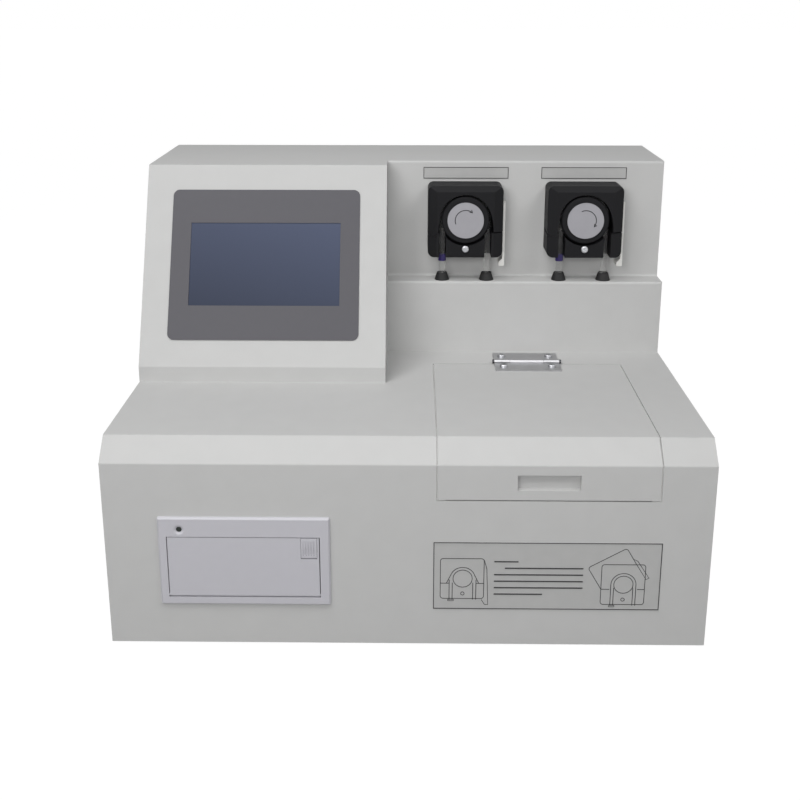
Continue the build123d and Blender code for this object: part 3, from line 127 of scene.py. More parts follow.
def vary_roughness(tree, texture, shader, low, high):
    """Roughness between two values."""
    spread = tree.nodes.new("ShaderNodeMapRange")
    spread.inputs["To Min"].default_value = low
    spread.inputs["To Max"].default_value = high
    tree.links.new(texture.outputs["Fac"], spread.inputs["Value"])
    tree.links.new(spread.outputs["Result"], shader.inputs["Roughness"])


def add_bump(tree, texture, shader, strength, distance):
    """Fine relief of the finish."""
    bump = tree.nodes.new("ShaderNodeBump")
    bump.inputs["Strength"].default_value = strength
    bump.inputs["Distance"].default_value = distance
    tree.links.new(texture.outputs["Fac"], bump.inputs["Height"])
    tree.links.new(bump.outputs["Normal"], shader.inputs["Normal"])


def finish(name, color, low, high, grain, relief, spread=0.03, metallic=0.0, stretch=None):
    """A finish from its colour, its range of roughness, and its grain per metre."""
    material, tree, shader, coords = new_material(name)
    broad = noise(tree, coords, grain / 20, detail=2.0)
    fine = noise(tree, coords, grain, stretch=stretch)
    vary_color(tree, broad, shader, color, spread)
    vary_roughness(tree, fine if stretch else broad, shader, low, high)
    add_bump(tree, fine, shader, relief, 0.0002)
    shader.inputs["Metallic"].default_value = metallic
    return material, shader


def paint(node, material):
    """Puts one material on a CAD node or a new piece."""
    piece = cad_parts[node] if isinstance(node, str) else node
    piece.data.materials.clear()
    piece.data.materials.append(material)


def linear(hex_color):
    """A written sRGB colour as the linear values that shaders take."""
    channels = [int(hex_color[i : i + 2], 16) / 255 for i in (1, 3, 5)]
    return [c / 12.92 if c <= 0.04045 else ((c + 0.055) / 1.055) ** 2.4 for c in channels] + [1.0]


def finish_coated(settings):
    """Powder coat: a pale grey skin with a fine orange-peel relief."""
    material, shader = finish(
        "powder_coat", settings.coat_color, 0.55, 0.65, 900.0, 0.12, spread=0.012
    )
    shader.inputs["Specular IOR Level"].default_value = 0.15
    return material


def finish_overlay(settings):
    """Printed film of the screen's surround: matte, with a fine satin tooth."""
    material, shader = finish(
        "overlay_film", settings.overlay_color, 0.5, 0.6, 2600.0, 0.10, spread=0.02
    )
    shader.inputs["Specular IOR Level"].default_value = 0.35
    return material


def finish_screen(settings):
    """Glass over a lit panel that shows an even, empty page, with painted light and shade laid on
    it: lighter towards its head and its right, in its colour and its glow.
    """
    material, tree, shader, coords = new_material("screen_glass")
    low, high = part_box("display_module")
    mapping = tree.nodes.new("ShaderNodeMapping")
    mapping.vector_type = "TEXTURE"
    mapping.inputs["Location"].default_value = low
    mapping.inputs["Scale"].default_value = [high[axis] - low[axis] for axis in range(3)]
    # Painted light and shade: a ramp from the darker lower left to the lighter upper right,
    # mostly upward, fed to both the colour and the glow
    split = tree.nodes.new("ShaderNodeSeparateXYZ")
    ramp = tree.nodes.new("ShaderNodeValToRGB")
    ramp.color_ramp.elements[0].color = settings.screen_painted_shade
    ramp.color_ramp.elements[1].color = settings.screen_painted_light
    up = tree.nodes.new("ShaderNodeMath")
    up.operation = "MULTIPLY"
    up.inputs[1].default_value = SCREEN_PAINTED_LIGHT_UP
    both = tree.nodes.new("ShaderNodeMath")
    both.operation = "MULTIPLY_ADD"
    both.inputs[1].default_value = SCREEN_PAINTED_LIGHT_ACROSS
    tree.links.new(coords.outputs["Object"], mapping.inputs["Vector"])
    tree.links.new(mapping.outputs["Vector"], split.inputs["Vector"])
    tree.links.new(split.outputs["Z"], up.inputs[0])
    tree.links.new(split.outputs["X"], both.inputs[0])
    tree.links.new(up.outputs["Value"], both.inputs[2])
    tree.links.new(both.outputs["Value"], ramp.inputs["Fac"])
    tree.links.new(ramp.outputs["Color"], shader.inputs["Base Color"])
    tree.links.new(ramp.outputs["Color"], shader.inputs["Emission Color"])
    shader.inputs["Emission Strength"].default_value = 0.35
    smudge = noise(tree, coords, 30.0, detail=4.0)
    vary_roughness(tree, smudge, shader, 0.08, 0.13)
    shader.inputs["Specular IOR Level"].default_value = 0.3
    return material


def finish_moulded(name, color, roughness=0.5, relief=0.18, gloss=0.4, spread=0.02):
    """Moulded plastic with a spark-eroded grain."""
    material, shader = finish(
        name, color, roughness - 0.05, roughness + 0.05, 1800.0, relief, spread=spread
    )
    shader.inputs["Specular IOR Level"].default_value = gloss
    return material


def finish_clear(name, color, roughness, transmission, bend=1.42):
    """Clear or milky plastic and silicone, with how strongly it bends light."""
    material, shader = finish(
        name, color, roughness, roughness + 0.1, 700.0, 0.04, spread=0.02
    )
    shader.inputs["Transmission Weight"].default_value = transmission
    shader.inputs["IOR"].default_value = bend
    return material


def finish_steel(name, color, roughness):
    """Satin steel with a fine grain along its length."""
    material, _ = finish(
        name, color, roughness - 0.08, roughness + 0.1, 1500.0, 0.10,
        spread=0.05, metallic=1.0, stretch=(0.06, 1.0, 1.0),
    )
    return material


def finish_board():
    """Solder mask over copper tracks."""
    material, tree, shader, coords = new_material("solder_mask")
    cells = tree.nodes.new("ShaderNodeTexVoronoi")
    cells.inputs["Scale"].default_value = 260.0
    cells.distance = "MANHATTAN"
    ramp = tree.nodes.new("ShaderNodeValToRGB")
    ramp.color_ramp.elements[0].color = (0.012, 0.10, 0.035, 1.0)
    ramp.color_ramp.elements[1].color = (0.022, 0.17, 0.06, 1.0)
    tree.links.new(coords.outputs["Object"], cells.inputs["Vector"])
    tree.links.new(cells.outputs["Distance"], ramp.inputs["Fac"])
    tree.links.new(ramp.outputs["Color"], shader.inputs["Base Color"])
    shader.inputs["Roughness"].default_value = 0.35
    return material


# ---- Modelling helpers -----------------------------------------------------


def start_piece():
    """Nothing is selected when a new primitive is added."""
    if bpy.context.mode != "OBJECT":
        bpy.ops.object.mode_set(mode="OBJECT")
    bpy.ops.object.select_all(action="DESELECT")


def end_piece(name, body, material, smooth_angle=None):
    """Names the active piece, puts its place into its mesh, and lets it ride on its body."""
    piece = bpy.context.active_object
    piece.name = name
    piece.data.name = name
    bpy.ops.object.transform_apply(location=True, rotation=True, scale=True)
    if smooth_angle:
        bpy.ops.object.shade_smooth_by_angle(angle=math.radians(smooth_angle))
    piece.data.materials.clear()
    piece.data.materials.append(material)
    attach(piece, body)
    return piece


def select_faces(piece, wanted):
    """In edit mode, selects the faces whose centre and normal pass a test."""
    bpy.ops.mesh.select_all(action="DESELECT")
    bpy.ops.mesh.select_mode(type="FACE")
    mesh = bmesh.from_edit_mesh(piece.data)
    for face in mesh.faces:
        face.select_set(wanted(face.calc_center_median(), face.normal))
    bmesh.update_edit_mesh(piece.data)


def pan_head_screw(name, place, normal, radius, turn, body, material):
    """A pan head with a cross recess, seated on a face."""
    start_piece()
    rise = radius * 0.55
    rotation = Vector((0, 0, 1)).rotation_difference(Vector(normal)).to_matrix().to_4x4()
    seat = Matrix.Translation(Vector(place)) @ rotation @ Matrix.Rotation(turn, 4, "Z")
    bpy.ops.mesh.primitive_cylinder_add(vertices=28, radius=radius, depth=rise)
    head = bpy.context.active_object
    bpy.ops.object.mode_set(mode="EDIT")
    select_faces(head, lambda middle, face_normal: face_normal.z > 0.9)
    bpy.ops.mesh.bevel(offset=rise * 0.55, segments=4, affect="EDGES")
    bpy.ops.object.mode_set(mode="OBJECT")
    for angle in (0, math.pi / 2):
        bpy.ops.mesh.primitive_cube_add(size=1, location=(0, 0, rise * 0.45))
        blade = bpy.context.active_object
        blade.scale = (radius * 1.15, radius * 0.26, rise * 0.7)
        blade.rotation_euler = (0, 0, angle)
        cut = head.modifiers.new("recess", "BOOLEAN")
        cut.operation = "DIFFERENCE"
        cut.object = blade
        cut.solver = "EXACT"
        bpy.ops.object.select_all(action="DESELECT")
        bpy.context.view_layer.objects.active = head
        head.select_set(True)
        bpy.ops.object.modifier_apply(modifier=cut.name)
        bpy.data.objects.remove(blade, do_unlink=True)
    head.matrix_world = seat @ Matrix.Translation((0, 0, rise / 2))
    return end_piece(name, body, material, smooth_angle=35)


def ink_drawing(name, strokes, plane, width, body, material):
    """Printed lines: thin raised ribbons along strokes, in millimetres of a plate's own plane."""
    start_piece()
    drawing = bpy.data.curves.new(name, "CURVE")
    drawing.dimensions = "3D"
    drawing.bevel_depth = width * MM / 2
    drawing.bevel_resolution = 1
    for points, closed in strokes:
        spline = drawing.splines.new("POLY")
        spline.points.add(len(points) - 1)
        for spot, (along, up) in zip(spline.points, points):
            place = plane @ Vector((along * MM, up * MM, 0))
            spot.co = (*place, 1.0)
        spline.use_cyclic_u = closed
    piece = bpy.data.objects.new(name, drawing)
    bpy.context.collection.objects.link(piece)
    bpy.context.view_layer.objects.active = piece
    piece.select_set(True)
    bpy.ops.object.convert(target="MESH")
    return end_piece(name, body, material)


def arc(center_at, radius, start, end, steps=24):
    """Points of an arc, in degrees."""
    return [
        (
            center_at[0] + radius * math.cos(math.radians(start + (end - start) * step / steps)),
            center_at[1] + radius * math.sin(math.radians(start + (end - start) * step / steps)),
        )
        for step in range(steps + 1)
    ]


def rounded_box(left, bottom, right, top, radius):
    """Points round a box with round corners."""
    return (
        arc((right - radius, top - radius), radius, 0, 90, 6)
        + arc((left + radius, top - radius), radius, 90, 180, 6)
        + arc((left + radius, bottom + radius), radius, 180, 270, 6)
        + arc((right - radius, bottom + radius), radius, 270, 360, 6)
    )


def box_points(left, first, right, second):
    """Corners of a box between two heights."""
    return [(left, first), (right, first), (right, second), (left, second)]


def plate(name, middle, size, thickness, body, material):
    """A thin printed plate on an upright face, with its edges eased."""
    start_piece()
    bpy.ops.mesh.primitive_cube_add(size=1, location=middle)
    piece = bpy.context.active_object
    piece.scale = (size[0], thickness, size[1])
    bpy.ops.object.transform_apply(location=False, rotation=False, scale=True)
    ease = piece.modifiers.new("ease", "BEVEL")
    ease.width = thickness * 0.3
    ease.segments = 2
    bpy.ops.object.modifier_apply(modifier=ease.name)
    return end_piece(name, body, material)


# ---- Settings ----------------------------------------------------------------


def color_property(name, description, default):
    """A colour that the sidebar shows."""
    return bpy.props.FloatVectorProperty(
        name=name, description=description, subtype="COLOR", size=4, min=0.0, max=1.0,
        default=default,
    )


def length_property(name, description, default):
    """A length in metres that the sidebar shows."""
    return bpy.props.FloatProperty(
        name=name, description=description, default=default, min=0.0, unit="LENGTH", precision=5
    )


class TitratorColors(bpy.types.PropertyGroup):
    """Colours of the finishes."""

    coat_color: color_property("Coat", "Powder coat of the housing", linear("#C3C3C2"))
    overlay_color: color_property("Overlay", "Film round the screen", linear("#504F54"))
    # The screen's two tones are painted shade at its lower left and painted light at its upper
    # right
    screen_painted_shade: color_property("Screen low", "Screen at its lower left", linear("#2B3141"))
    screen_painted_light: color_property("Screen high", "Screen at its upper right", linear("#434A5E"))
    printer_color: color_property("Printer", "Plastic of the printer", linear("#C0BFC5"))
    pump_color: color_property("Pump", "Plastic of the pump heads", linear("#18181A"))
    collar_color: color_property("Collar", "Tube collars", linear("#2A1A66"))
    disc_color: color_property("Disc", "Rotor discs", linear("#A09FA4"))
    backdrop_color: color_property("Backdrop", "Floor and backdrop", linear("#959595"))


class TitratorSizes(bpy.types.PropertyGroup):
    """Sizes of the fasteners and printed plates."""

    hinge_screw_radius: length_property("Hinge screw", "Radius of a hinge screw's head", 0.0042)
    hinge_screw_spacing: length_property(
        "Screw spacing", "From the hinge's middle to a screw", 0.025
    )
    pump_screw_radius: length_property("Pump screw", "Radius of a pump screw's head", 0.0037)
    panel_screw_radius: length_property("Panel screw", "Radius of a panel screw's head", 0.0035)
    plate_thickness: length_property("Plate", "Thickness of a printed plate", 0.0003)
    ink_width: length_property("Ink", "Width of a printed line", 0.0008)


def colors():
    """The scene's colour settings."""
    return bpy.context.scene.titrator_colors


def sizes():
    """The scene's size settings."""
    return bpy.context.scene.titrator_sizes


FINISHES = {}

# From a hinge leaf's lowest point to its top face
LEAF_TOP = 0.0017
# Where a screw row stands on each leaf, as a share of the way from its outer edge to the pin
SCREW_ROWS = {"hinge_leaf_lid": 0.5, "hinge_leaf_deck": 0.34}
# A pump's screw above the foot of its base, and the turn of its recess
PUMP_SCREW_RISE = 0.0094
PUMP_SCREW_TURNS = {"left": 0.9, "right": 0.5}
# Rear screws in from the edges of the rear panel
PANEL_SCREW_INSET = 0.012


# ---- Drawings on the card, in millimetres ------------------------------------

# A pump head round its hub: its sides, corners, parting line and round parts
HEAD_LEFT, HEAD_RIGHT, HEAD_HALF = 20, 19, 20
HEAD_CORNER = 2.5
PARTING_DROP, PARTING_IN = 4.7, 12.4
DISC_RADIUS, TRACK_RADIUS = 8.6, 11.2
KNOB_DROP, KNOB_RADIUS = 15, 1.6
TUBE_END, FOOT_END = 21, 22.4
INNER_DROP = 3
COVER_SWING = math.radians(30)


def pump_strokes(x, z, outer, inner, top, foot):
    """Body, disc, parting line, knob, foot and tubes, which both drawings share."""
    left, right, parting = x - HEAD_LEFT, x + HEAD_RIGHT, z - PARTING_DROP
    strokes = [
        (rounded_box(left, z - HEAD_HALF, right, z + HEAD_HALF, HEAD_CORNER), True),
        (arc((x, z), DISC_RADIUS, 0, 360), True),
        ([(left, parting), (x - PARTING_IN, parting)], False),
        ([(x + PARTING_IN, parting), (right, parting)], False),
        (arc((x, z - KNOB_DROP), KNOB_RADIUS, 0, 360, 12), True),
        (box_points(x + foot[0], z - FOOT_END, x + foot[1], z - TUBE_END), True),
    ]
    for side in (-1, 1):
        for spacing, start in ((outer, z + top), (inner, z + top - INNER_DROP)):
            along = x + side * spacing
            strokes.append(([(along, start), (along, z - TUBE_END)], False))
    return strokes


def closed_pump_strokes(x, z):
    """A generic pump head with its cover shut, round its hub at (x, z)."""
    low = z - PARTING_DROP
    track = [(x - 14.5, low)] + arc((x, z), TRACK_RADIUS, 150, 30) + [(x + 14.5, low)]
    lever = [(19, 19), (21.5, 10), (23, -26), (20, -26), (17, -21)]
    return pump_strokes(x, z, 12, 9.2, -1, (-13.2, -8)) + [
        (track, False),
        ([(x + across, z + up) for across, up in lever], False),
    ]


def open_pump_strokes(x, z):
    """The same head with its cover swung up about its lower left corner."""
    pivot = Vector((x - HEAD_LEFT, z - PARTING_DROP))
    swing = Matrix.Rotation(COVER_SWING, 2)

    def swung(points):
        """Points of the shut cover, turned about the pivot."""
        return [tuple(pivot + swing @ (Vector(point) - pivot)) for point in points]

    corner_z = z + HEAD_HALF - HEAD_CORNER
    cover = [tuple(pivot)]
    cover += arc((x - HEAD_LEFT + HEAD_CORNER, corner_z), HEAD_CORNER, 180, 90, 6)
    cover += arc((x + HEAD_RIGHT - HEAD_CORNER, corner_z), HEAD_CORNER, 90, 0, 6)
    cover += [(x + HEAD_RIGHT, z + 4)]
    lever = [(19, 8), (21.5, 4), (22.5, -16), (19.5, -16), (19, 4)]
    return pump_strokes(x, z, TRACK_RADIUS, DISC_RADIUS, 0, (-12.4, -7.4)) + [
        (arc((x, z), TRACK_RADIUS, 180, 0), False),
        (swung(cover), False),
        (swung([(x + across, z + up) for across, up in lever]), True),
    ]


# ---- Operators -----------------------------------------------------------------


class TITRATOR_OT_finishes(bpy.types.Operator):
    """Makes the finishes and puts them on the CAD nodes"""

    bl_idname = "titrator.finishes"
    bl_label = "Finishes"

    def execute(self, context):
        wear = colors()
        made = {
            "coat": finish_coated(wear),
            "overlay": finish_overlay(wear),
            "screen": finish_screen(wear),
            "printer": finish_moulded(
                "printer_plastic", wear.printer_color, 0.5, 0.10, spread=0.008
            ),
            "pump": finish_moulded("pump_plastic", wear.pump_color, 0.5, 0.16, gloss=0.12),
            "black": finish_moulded("black_plastic", linear("#1A1A1C"), 0.5, 0.2, gloss=0.25),
            "ink": finish_moulded("plate_ink", linear("#1B1B1D"), 0.55, 0.05),
            "ivory": finish_moulded("lever_plastic", linear("#E6E5E1"), 0.42, 0.06),
            "white": finish_moulded("white_plastic", linear("#E4E4E2"), 0.42, 0.06),
            "disc": finish_moulded("disc_film", wear.disc_color, 0.4, 0.05),
            "rubber": finish_moulded("rubber", linear("#151516"), 0.7, 0.25),
            "blue": finish_moulded("collar_plastic", wear.collar_color, 0.3, 0.05),
            "steel": finish_steel("satin_steel", linear("#B7B7B9"), 0.36),
            "zinc": finish_steel("zinc_screw", linear("#B4B5B8"), 0.3),
            "dark": finish_steel("dark_steel", linear("#4A4A4D"), 0.4),
            "silicone": finish_clear("silicone", linear("#F6F6F5"), 0.14, 0.93, bend=1.16),
            "clear": finish_clear("clear_plastic", linear("#E6ECEF"), 0.08, 0.9),
            "led": finish_clear("led_lens", linear("#16201A"), 0.12, 0.2),
            "paper": finish_moulded("paper", linear("#F4F3EE"), 0.85, 0.05),
            "board": finish_board(),
            "label": finish_moulded("plate_film", linear("#B3B3B2"), 0.45, 0.04),
        }
        FINISHES.update(made)
        for nodes, key in (
            (COATED, "coat"),
            (STEEL, "steel"),
            (MOULDED_BLACK, "black"),
            (PRINTER_GREY, "printer"),
            (WHITE_PLASTIC, "white"),
            (RUBBER, "rubber"),
            (DARK_STEEL, "dark"),
            (["display_overlay"], "overlay"),
            (["display_module"], "screen"),
            (["printer_led"], "led"),
            (["paper_roll"], "paper"),
            (["sample_cups"], "clear"),
            (["tube_collars"], "blue"),
            (["main_board"], "board"),
        ):
            for node in nodes:
                paint(node, FINISHES[key])
        for side in PUMP_SIDES:
            pump = "pump_" + side + "_"
            for part in ("base", "cover", "rotor"):
                paint(pump + part, FINISHES["pump"])
            for number in (1, 2, 3):
                paint(pump + "roller_" + str(number), FINISHES["steel"])
            paint(pump + "lever", FINISHES["ivory"])
            paint(pump + "disc", FINISHES["disc"])
            paint(pump + "motor", FINISHES["dark"])
            paint(pump + "tube", FINISHES["silicone"])
        return {"FINISHED"}


class TITRATOR_OT_hinge_screws(bpy.types.Operator):
    """Four pan-head screws, two on each leaf of the lid's hinge"""

    bl_idname = "titrator.hinge_screws"
    bl_label = "Hinge screws"

    def execute(self, context):
        size = sizes()
        pin_y = center("hinge_pin")[1]
        for leaf, body in (("hinge_leaf_lid", "lid"), ("hinge_leaf_deck", "chassis")):
            low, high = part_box(leaf)
            outer_y = low[1] if body == "lid" else high[1]
            row_y = outer_y + (pin_y - outer_y) * SCREW_ROWS[leaf]
            plate_top = low[2] + LEAF_TOP
            for number, side in enumerate((-1, 1), start=1):
                place = (center(leaf)[0] + side * size.hinge_screw_spacing, row_y, plate_top)
                pan_head_screw(
                    leaf + "_screw_" + str(number), place, (0, 0, 1), size.hinge_screw_radius,
                    0.5 * number + 0.3 * row_y, body, FINISHES["zinc"],
                )
        return {"FINISHED"}


class TITRATOR_OT_pump_screws(bpy.types.Operator):
    """One pan-head screw in the front of each pump's lower body"""

    bl_idname = "titrator.pump_screws"
    bl_label = "Pump screws"

    def execute(self, context):
        for side in PUMP_SIDES:
            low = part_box("pump_" + side + "_base")[0]
            place = (center("pump_" + side + "_rotor")[0], low[1], low[2] + PUMP_SCREW_RISE)
            pan_head_screw(
                "pump_" + side + "_screw", place, (0, -1, 0), sizes().pump_screw_radius,
                PUMP_SCREW_TURNS[side], "chassis", FINISHES["zinc"],
            )
        return {"FINISHED"}


class TITRATOR_OT_panel_screws(bpy.types.Operator):
    """Six screws that hold the rear panel"""

    bl_idname = "titrator.panel_screws"
    bl_label = "Panel screws"

    def execute(self, context):
        low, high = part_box("rear_panel")
        inset = PANEL_SCREW_INSET
        rows = (low[2] + inset, (low[2] + high[2]) / 2, high[2] - inset)
        places = [(x, high[1], z) for x in (low[0] + inset, high[0] - inset) for z in rows]
        for number, place in enumerate(places, start=1):
            pan_head_screw(
                "rear_screw_" + str(number), place, (0, 1, 0),
                sizes().panel_screw_radius, 0.4 * number, "chassis", FINISHES["zinc"],
            )
        return {"FINISHED"}


# Printed plates: middles and sizes in millimetres, and how far in their frames stand
TITLE_SHIFT, TITLE_Z = 1.1, 392.2
TITLE_SIZE, TITLE_INSET = (90.2, 12.2), 0.3
CARD_MIDDLE, CARD_SIZE, CARD_INSET = (124.75, 73.55), (203.2, 66.8), 0.45
SHUT_PUMP, OPEN_PUMP = (49.5, 70.8), (193.5, 65.7)
# Plain rules where a text block would stand: start, end and height
CARD_RULES = (
    (77.5, 99, 88), (87, 157, 81.5), (77.5, 157, 75), (77.5, 157, 68.5), (77.5, 157, 62),
    (77.5, 121, 55.5),
)
# Widths of the lines, as shares of the ink setting
TITLE_LINE, CARD_LINE, DRAWING_LINE, RULE_LINE = 1.2, 1.3, 0.8, 1.6


def framed_plate(name, middle, size, inset, face_y, line):
    """A plate on an upright face with a printed frame, and the plane for more print on it."""
    thick = sizes().plate_thickness
    plate(
        name, (middle[0] * MM, face_y - thick / 2, middle[1] * MM), (size[0] * MM, size[1] * MM),
        thick, "chassis", FINISHES["label"],
    )
    plane = Matrix.Translation((0, face_y - thick, 0)) @ UPRIGHT
    half_x, half_z = size[0] / 2 - inset, size[1] / 2 - inset
    frame_points = box_points(
        middle[0] - half_x, middle[1] - half_z, middle[0] + half_x, middle[1] + half_z
    )
    print_on(plane, name + "_border", [(frame_points, True)], line)
    return plane


def print_on(plane, name, strokes, line):
    """Prints strokes on a plate of the housing."""
    width = sizes().ink_width / MM * line
    return ink_drawing(name, strokes, plane, width, "chassis", FINISHES["ink"])


class TITRATOR_OT_printed_plates(bpy.types.Operator):
    """Bare title strips over the pumps and a card that draws a pump shut and open"""

    bl_idname = "titrator.printed_plates"
    bl_label = "Printed plates"

    def execute(self, context):
        wall_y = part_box("pump_left_base")[1][1]
        for side in PUMP_SIDES:
            middle = (center("pump_" + side + "_rotor")[0] / MM + TITLE_SHIFT, TITLE_Z)
            name = "pump_" + side + "_title"
            framed_plate(name, middle, TITLE_SIZE, TITLE_INSET, wall_y, TITLE_LINE)
        front_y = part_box("front_panel")[0][1]
        card = framed_plate("guide_card", CARD_MIDDLE, CARD_SIZE, CARD_INSET, front_y, CARD_LINE)
        rules = [([(start, z), (end, z)], False) for start, end, z in CARD_RULES]
        print_on(card, "guide_card_shut_pump", closed_pump_strokes(*SHUT_PUMP), DRAWING_LINE)
        print_on(card, "guide_card_open_pump", open_pump_strokes(*OPEN_PUMP), DRAWING_LINE)
        print_on(card, "guide_card_rules", rules, RULE_LINE)
        return {"FINISHED"}


# A disc's arrow: where it starts, and its radius, sweep and barbs, in degrees and millimetres
ARROW_STARTS = {"left": 200, "right": 115}
ARROW_RADIUS, ARROW_SWEEP, ARROW_LINE = 11.0, 150, 0.9
BARB_LENGTH, BARB_SPREAD = 3.2, 0.5


class TITRATOR_OT_disc_marks(bpy.types.Operator):
    """A turning arrow on each rotor's disc"""

    bl_idname = "titrator.disc_marks"
    bl_label = "Disc marks"

    def execute(self, context):
        for side in PUMP_SIDES:
            disc = "pump_" + side + "_disc"
            x, _, z = (place / MM for place in center(disc))
            plane = Matrix.Translation((0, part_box(disc)[0][1], 0)) @ UPRIGHT
            start = ARROW_STARTS[side]
            sweep = arc((x, z), ARROW_RADIUS, start, start - ARROW_SWEEP)
            tip = Vector(sweep[-1])
            heading = math.radians(start - ARROW_SWEEP - 90)
            barbs = [
                tuple(tip - BARB_LENGTH * Vector((math.cos(angle), math.sin(angle))))
                for angle in (heading - BARB_SPREAD, heading + BARB_SPREAD)
            ]
            strokes = [(sweep, False), ([barbs[0], sweep[-1], barbs[1]], False)]
            ink_drawing(
                disc + "_arrow", strokes, plane, ARROW_LINE, "pump_" + side + "_rotor",
                FINISHES["ink"],
            )
        return {"FINISHED"}


# What the camera, gloss and glass see of the floor: a share of plain white, and its strength
FLOOR_SIZE, FLOOR_SHARE, FLOOR_WHITE = 30, 0.85, 1.16
WORLD_COLOR, WORLD_STRENGTH = (0.93, 0.95, 1.0, 1), 0.08
WHITE = (1, 1, 1, 1)
CAMERA_PLACE = (0.0038, -1.0429, 0.5814)
CAMERA_TILT, CAMERA_TURN = 0.2618, 0.0123
CAMERA_SENSOR, CAMERA_LENS, CAMERA_SHIFT = 36, 47.594, -0.16


def white_rays(tree):
    """One for the rays that show the backdrop: the camera's, and those in gloss and glass."""
    rays = tree.nodes.new("ShaderNodeLightPath")
    total = rays.outputs["Is Camera Ray"]
    for kind in ("Is Glossy Ray", "Is Transmission Ray"):
        either = tree.nodes.new("ShaderNodeMath")
        either.operation = "MAXIMUM"
        tree.links.new(total, either.inputs[0])
        tree.links.new(rays.outputs[kind], either.inputs[1])
        total = either.outputs["Value"]
    return total


def lay_floor():
    """A matt floor that those rays see as nearly white."""
    start_piece()
    bpy.ops.mesh.primitive_plane_add(size=FLOOR_SIZE, location=(0, 0, 0))
    floor = bpy.context.active_object
    floor.name = "studio_floor"
    material, tree, shader, _ = new_material("studio_floor")
    shader.inputs["Base Color"].default_value = colors().backdrop_color
    shader.inputs["Roughness"].default_value = 0.8
    white = tree.nodes.new("ShaderNodeEmission")
    white.inputs["Color"].default_value = WHITE
    white.inputs["Strength"].default_value = FLOOR_WHITE
    mix = tree.nodes.new("ShaderNodeMixShader")
    output = [node for node in tree.nodes if node.type == "OUTPUT_MATERIAL"][0]
    seen = tree.nodes.new("ShaderNodeMath")
    seen.operation = "MULTIPLY"
    seen.inputs[1].default_value = FLOOR_SHARE
    tree.links.new(white_rays(tree), seen.inputs[0])
    tree.links.new(seen.outputs["Value"], mix.inputs["Fac"])
    tree.links.new(shader.outputs["BSDF"], mix.inputs[1])
    tree.links.new(white.outputs["Emission"], mix.inputs[2])
    tree.links.new(mix.outputs["Shader"], output.inputs["Surface"])
    floor.data.materials.append(material)


def world_light(tree, color, strength):
    """A background shader of one colour."""
    light = tree.nodes.new("ShaderNodeBackground")
    light.inputs["Color"].default_value = color
    light.inputs["Strength"].default_value = strength
    return light.outputs["Background"]


def light_world():
    """A dim, slightly cool world that those rays see as white."""
    world = bpy.data.worlds.new("studio")
    bpy.context.scene.world = world
    world.use_nodes = True
    tree = world.node_tree
    tree.nodes.clear()
    out = tree.nodes.new("ShaderNodeOutputWorld")
    plain = world_light(tree, WORLD_COLOR, WORLD_STRENGTH)
    backdrop = world_light(tree, WHITE, 1.0)
    choose = tree.nodes.new("ShaderNodeMixShader")
    tree.links.new(white_rays(tree), choose.inputs["Fac"])
    tree.links.new(plain, choose.inputs[1])
    tree.links.new(backdrop, choose.inputs[2])
    tree.links.new(choose.outputs["Shader"], out.inputs["Surface"])


def softbox(name, place, aim, size_x, size_y, power, spread=180):
    """An area lamp that faces a point, with a grid that narrows its spread."""
    lamp = bpy.data.lights.new(name, "AREA")
    lamp.shape = "RECTANGLE"
    lamp.size = size_x
    lamp.size_y = size_y
    lamp.energy = power
    lamp.spread = math.radians(spread)
    holder = bpy.data.objects.new(name, lamp)
    bpy.context.collection.objects.link(holder)
    holder.location = place
    direction = Vector(aim) - Vector(place)
    holder.rotation_euler = direction.to_track_quat("-Z", "Y").to_euler()


def place_camera():
    """The camera, a little above the front and tilted down."""
    camera = bpy.data.cameras.new("camera")
    holder = bpy.data.objects.new("camera", camera)
    bpy.context.collection.objects.link(holder)
    camera.sensor_width = CAMERA_SENSOR
    camera.lens = CAMERA_LENS
    camera.shift_y = CAMERA_SHIFT
    holder.location = CAMERA_PLACE
    holder.rotation_euler = (math.radians(90) - CAMERA_TILT, 0, CAMERA_TURN)
    bpy.context.scene.camera = holder


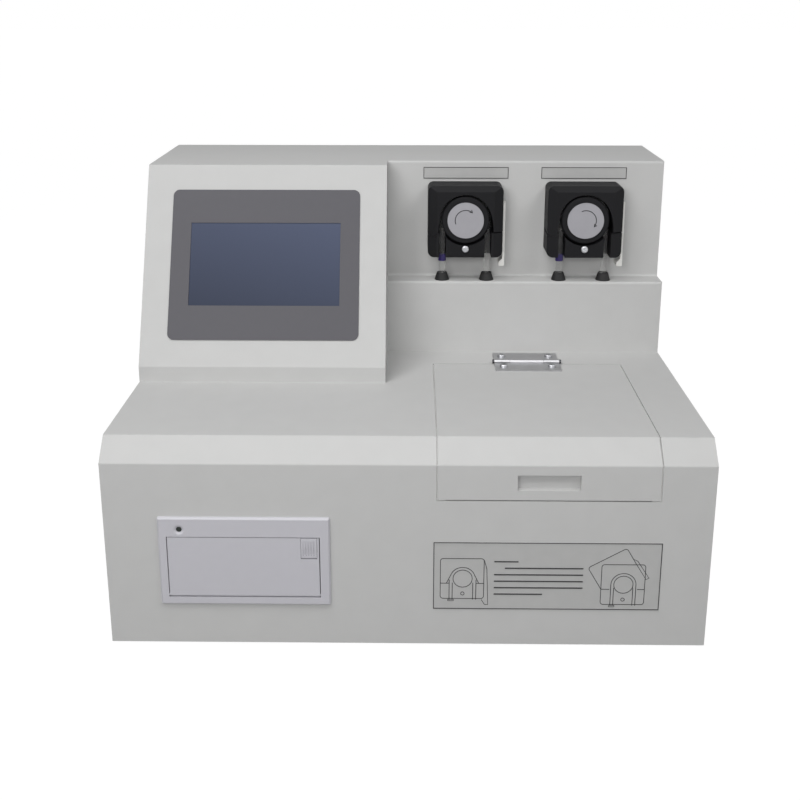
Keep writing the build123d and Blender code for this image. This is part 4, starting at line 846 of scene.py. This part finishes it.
class TITRATOR_OT_studio(bpy.types.Operator):
    """Pale floor, soft lamps, plain world and the camera"""

    bl_idname = "titrator.studio"
    bl_label = "Studio"

    def execute(self, context):
        lay_floor()
        light_world()
        softbox("overhead", (-0.3, -0.6, 1.5), (0, -0.25, 0.1), 0.9, 0.6, 3.0, 110)
        softbox("front", (-0.35, -1.7, 0.9), (0, 0, 0.2), 1.2, 0.5, 12.2)
        softbox("high_left", (-0.9, -0.9, 1.4), (0, 0, 0.2), 0.6, 0.6, 5.2)
        softbox("high_right", (0.9, -0.9, 1.4), (0, 0, 0.2), 0.6, 0.6, 7.6)
        softbox("back_left", (-1.5, 0.9, 0.14), (0, 0.1, 0.2), 0.9, 0.36, 12.0)
        softbox("back_right", (1.5, 0.9, 0.14), (0, 0.1, 0.2), 0.9, 0.36, 12.0)
        place_camera()
        bpy.context.scene.view_settings.view_transform = "Standard"
        return {"FINISHED"}


class TITRATOR_PT_panel(bpy.types.Panel):
    """Lists the steps that dress the titrator"""

    bl_idname = "TITRATOR_PT_panel"
    bl_label = "Titrator"
    bl_space_type = "VIEW_3D"
    bl_region_type = "UI"
    bl_category = "Titrator"

    def draw(self, context):
        for group in (context.scene.titrator_colors, context.scene.titrator_sizes):
            for name in group.__annotations__:
                self.layout.prop(group, name)
        for step in STEPS:
            self.layout.operator(step.bl_idname)


STEPS = (
    TITRATOR_OT_finishes,
    TITRATOR_OT_hinge_screws,
    TITRATOR_OT_pump_screws,
    TITRATOR_OT_panel_screws,
    TITRATOR_OT_printed_plates,
    TITRATOR_OT_disc_marks,
    TITRATOR_OT_studio,
)
CLASSES = (TitratorColors, TitratorSizes, *STEPS, TITRATOR_PT_panel)


def register():
    """Adds the classes and the scene's settings."""
    for cls in CLASSES:
        bpy.utils.register_class(cls)
    bpy.types.Scene.titrator_colors = bpy.props.PointerProperty(type=TitratorColors)
    bpy.types.Scene.titrator_sizes = bpy.props.PointerProperty(type=TitratorSizes)


def unregister():
    """Removes the scene's settings and the classes."""
    del bpy.types.Scene.titrator_sizes
    del bpy.types.Scene.titrator_colors
    for cls in reversed(CLASSES):
        bpy.utils.unregister_class(cls)


def main():
    """Dresses the titrator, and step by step."""
    register()
    for step in STEPS:
        group, name = step.bl_idname.split(".")
        getattr(getattr(bpy.ops, group), name)()


if __name__ == "__main__":
    main()
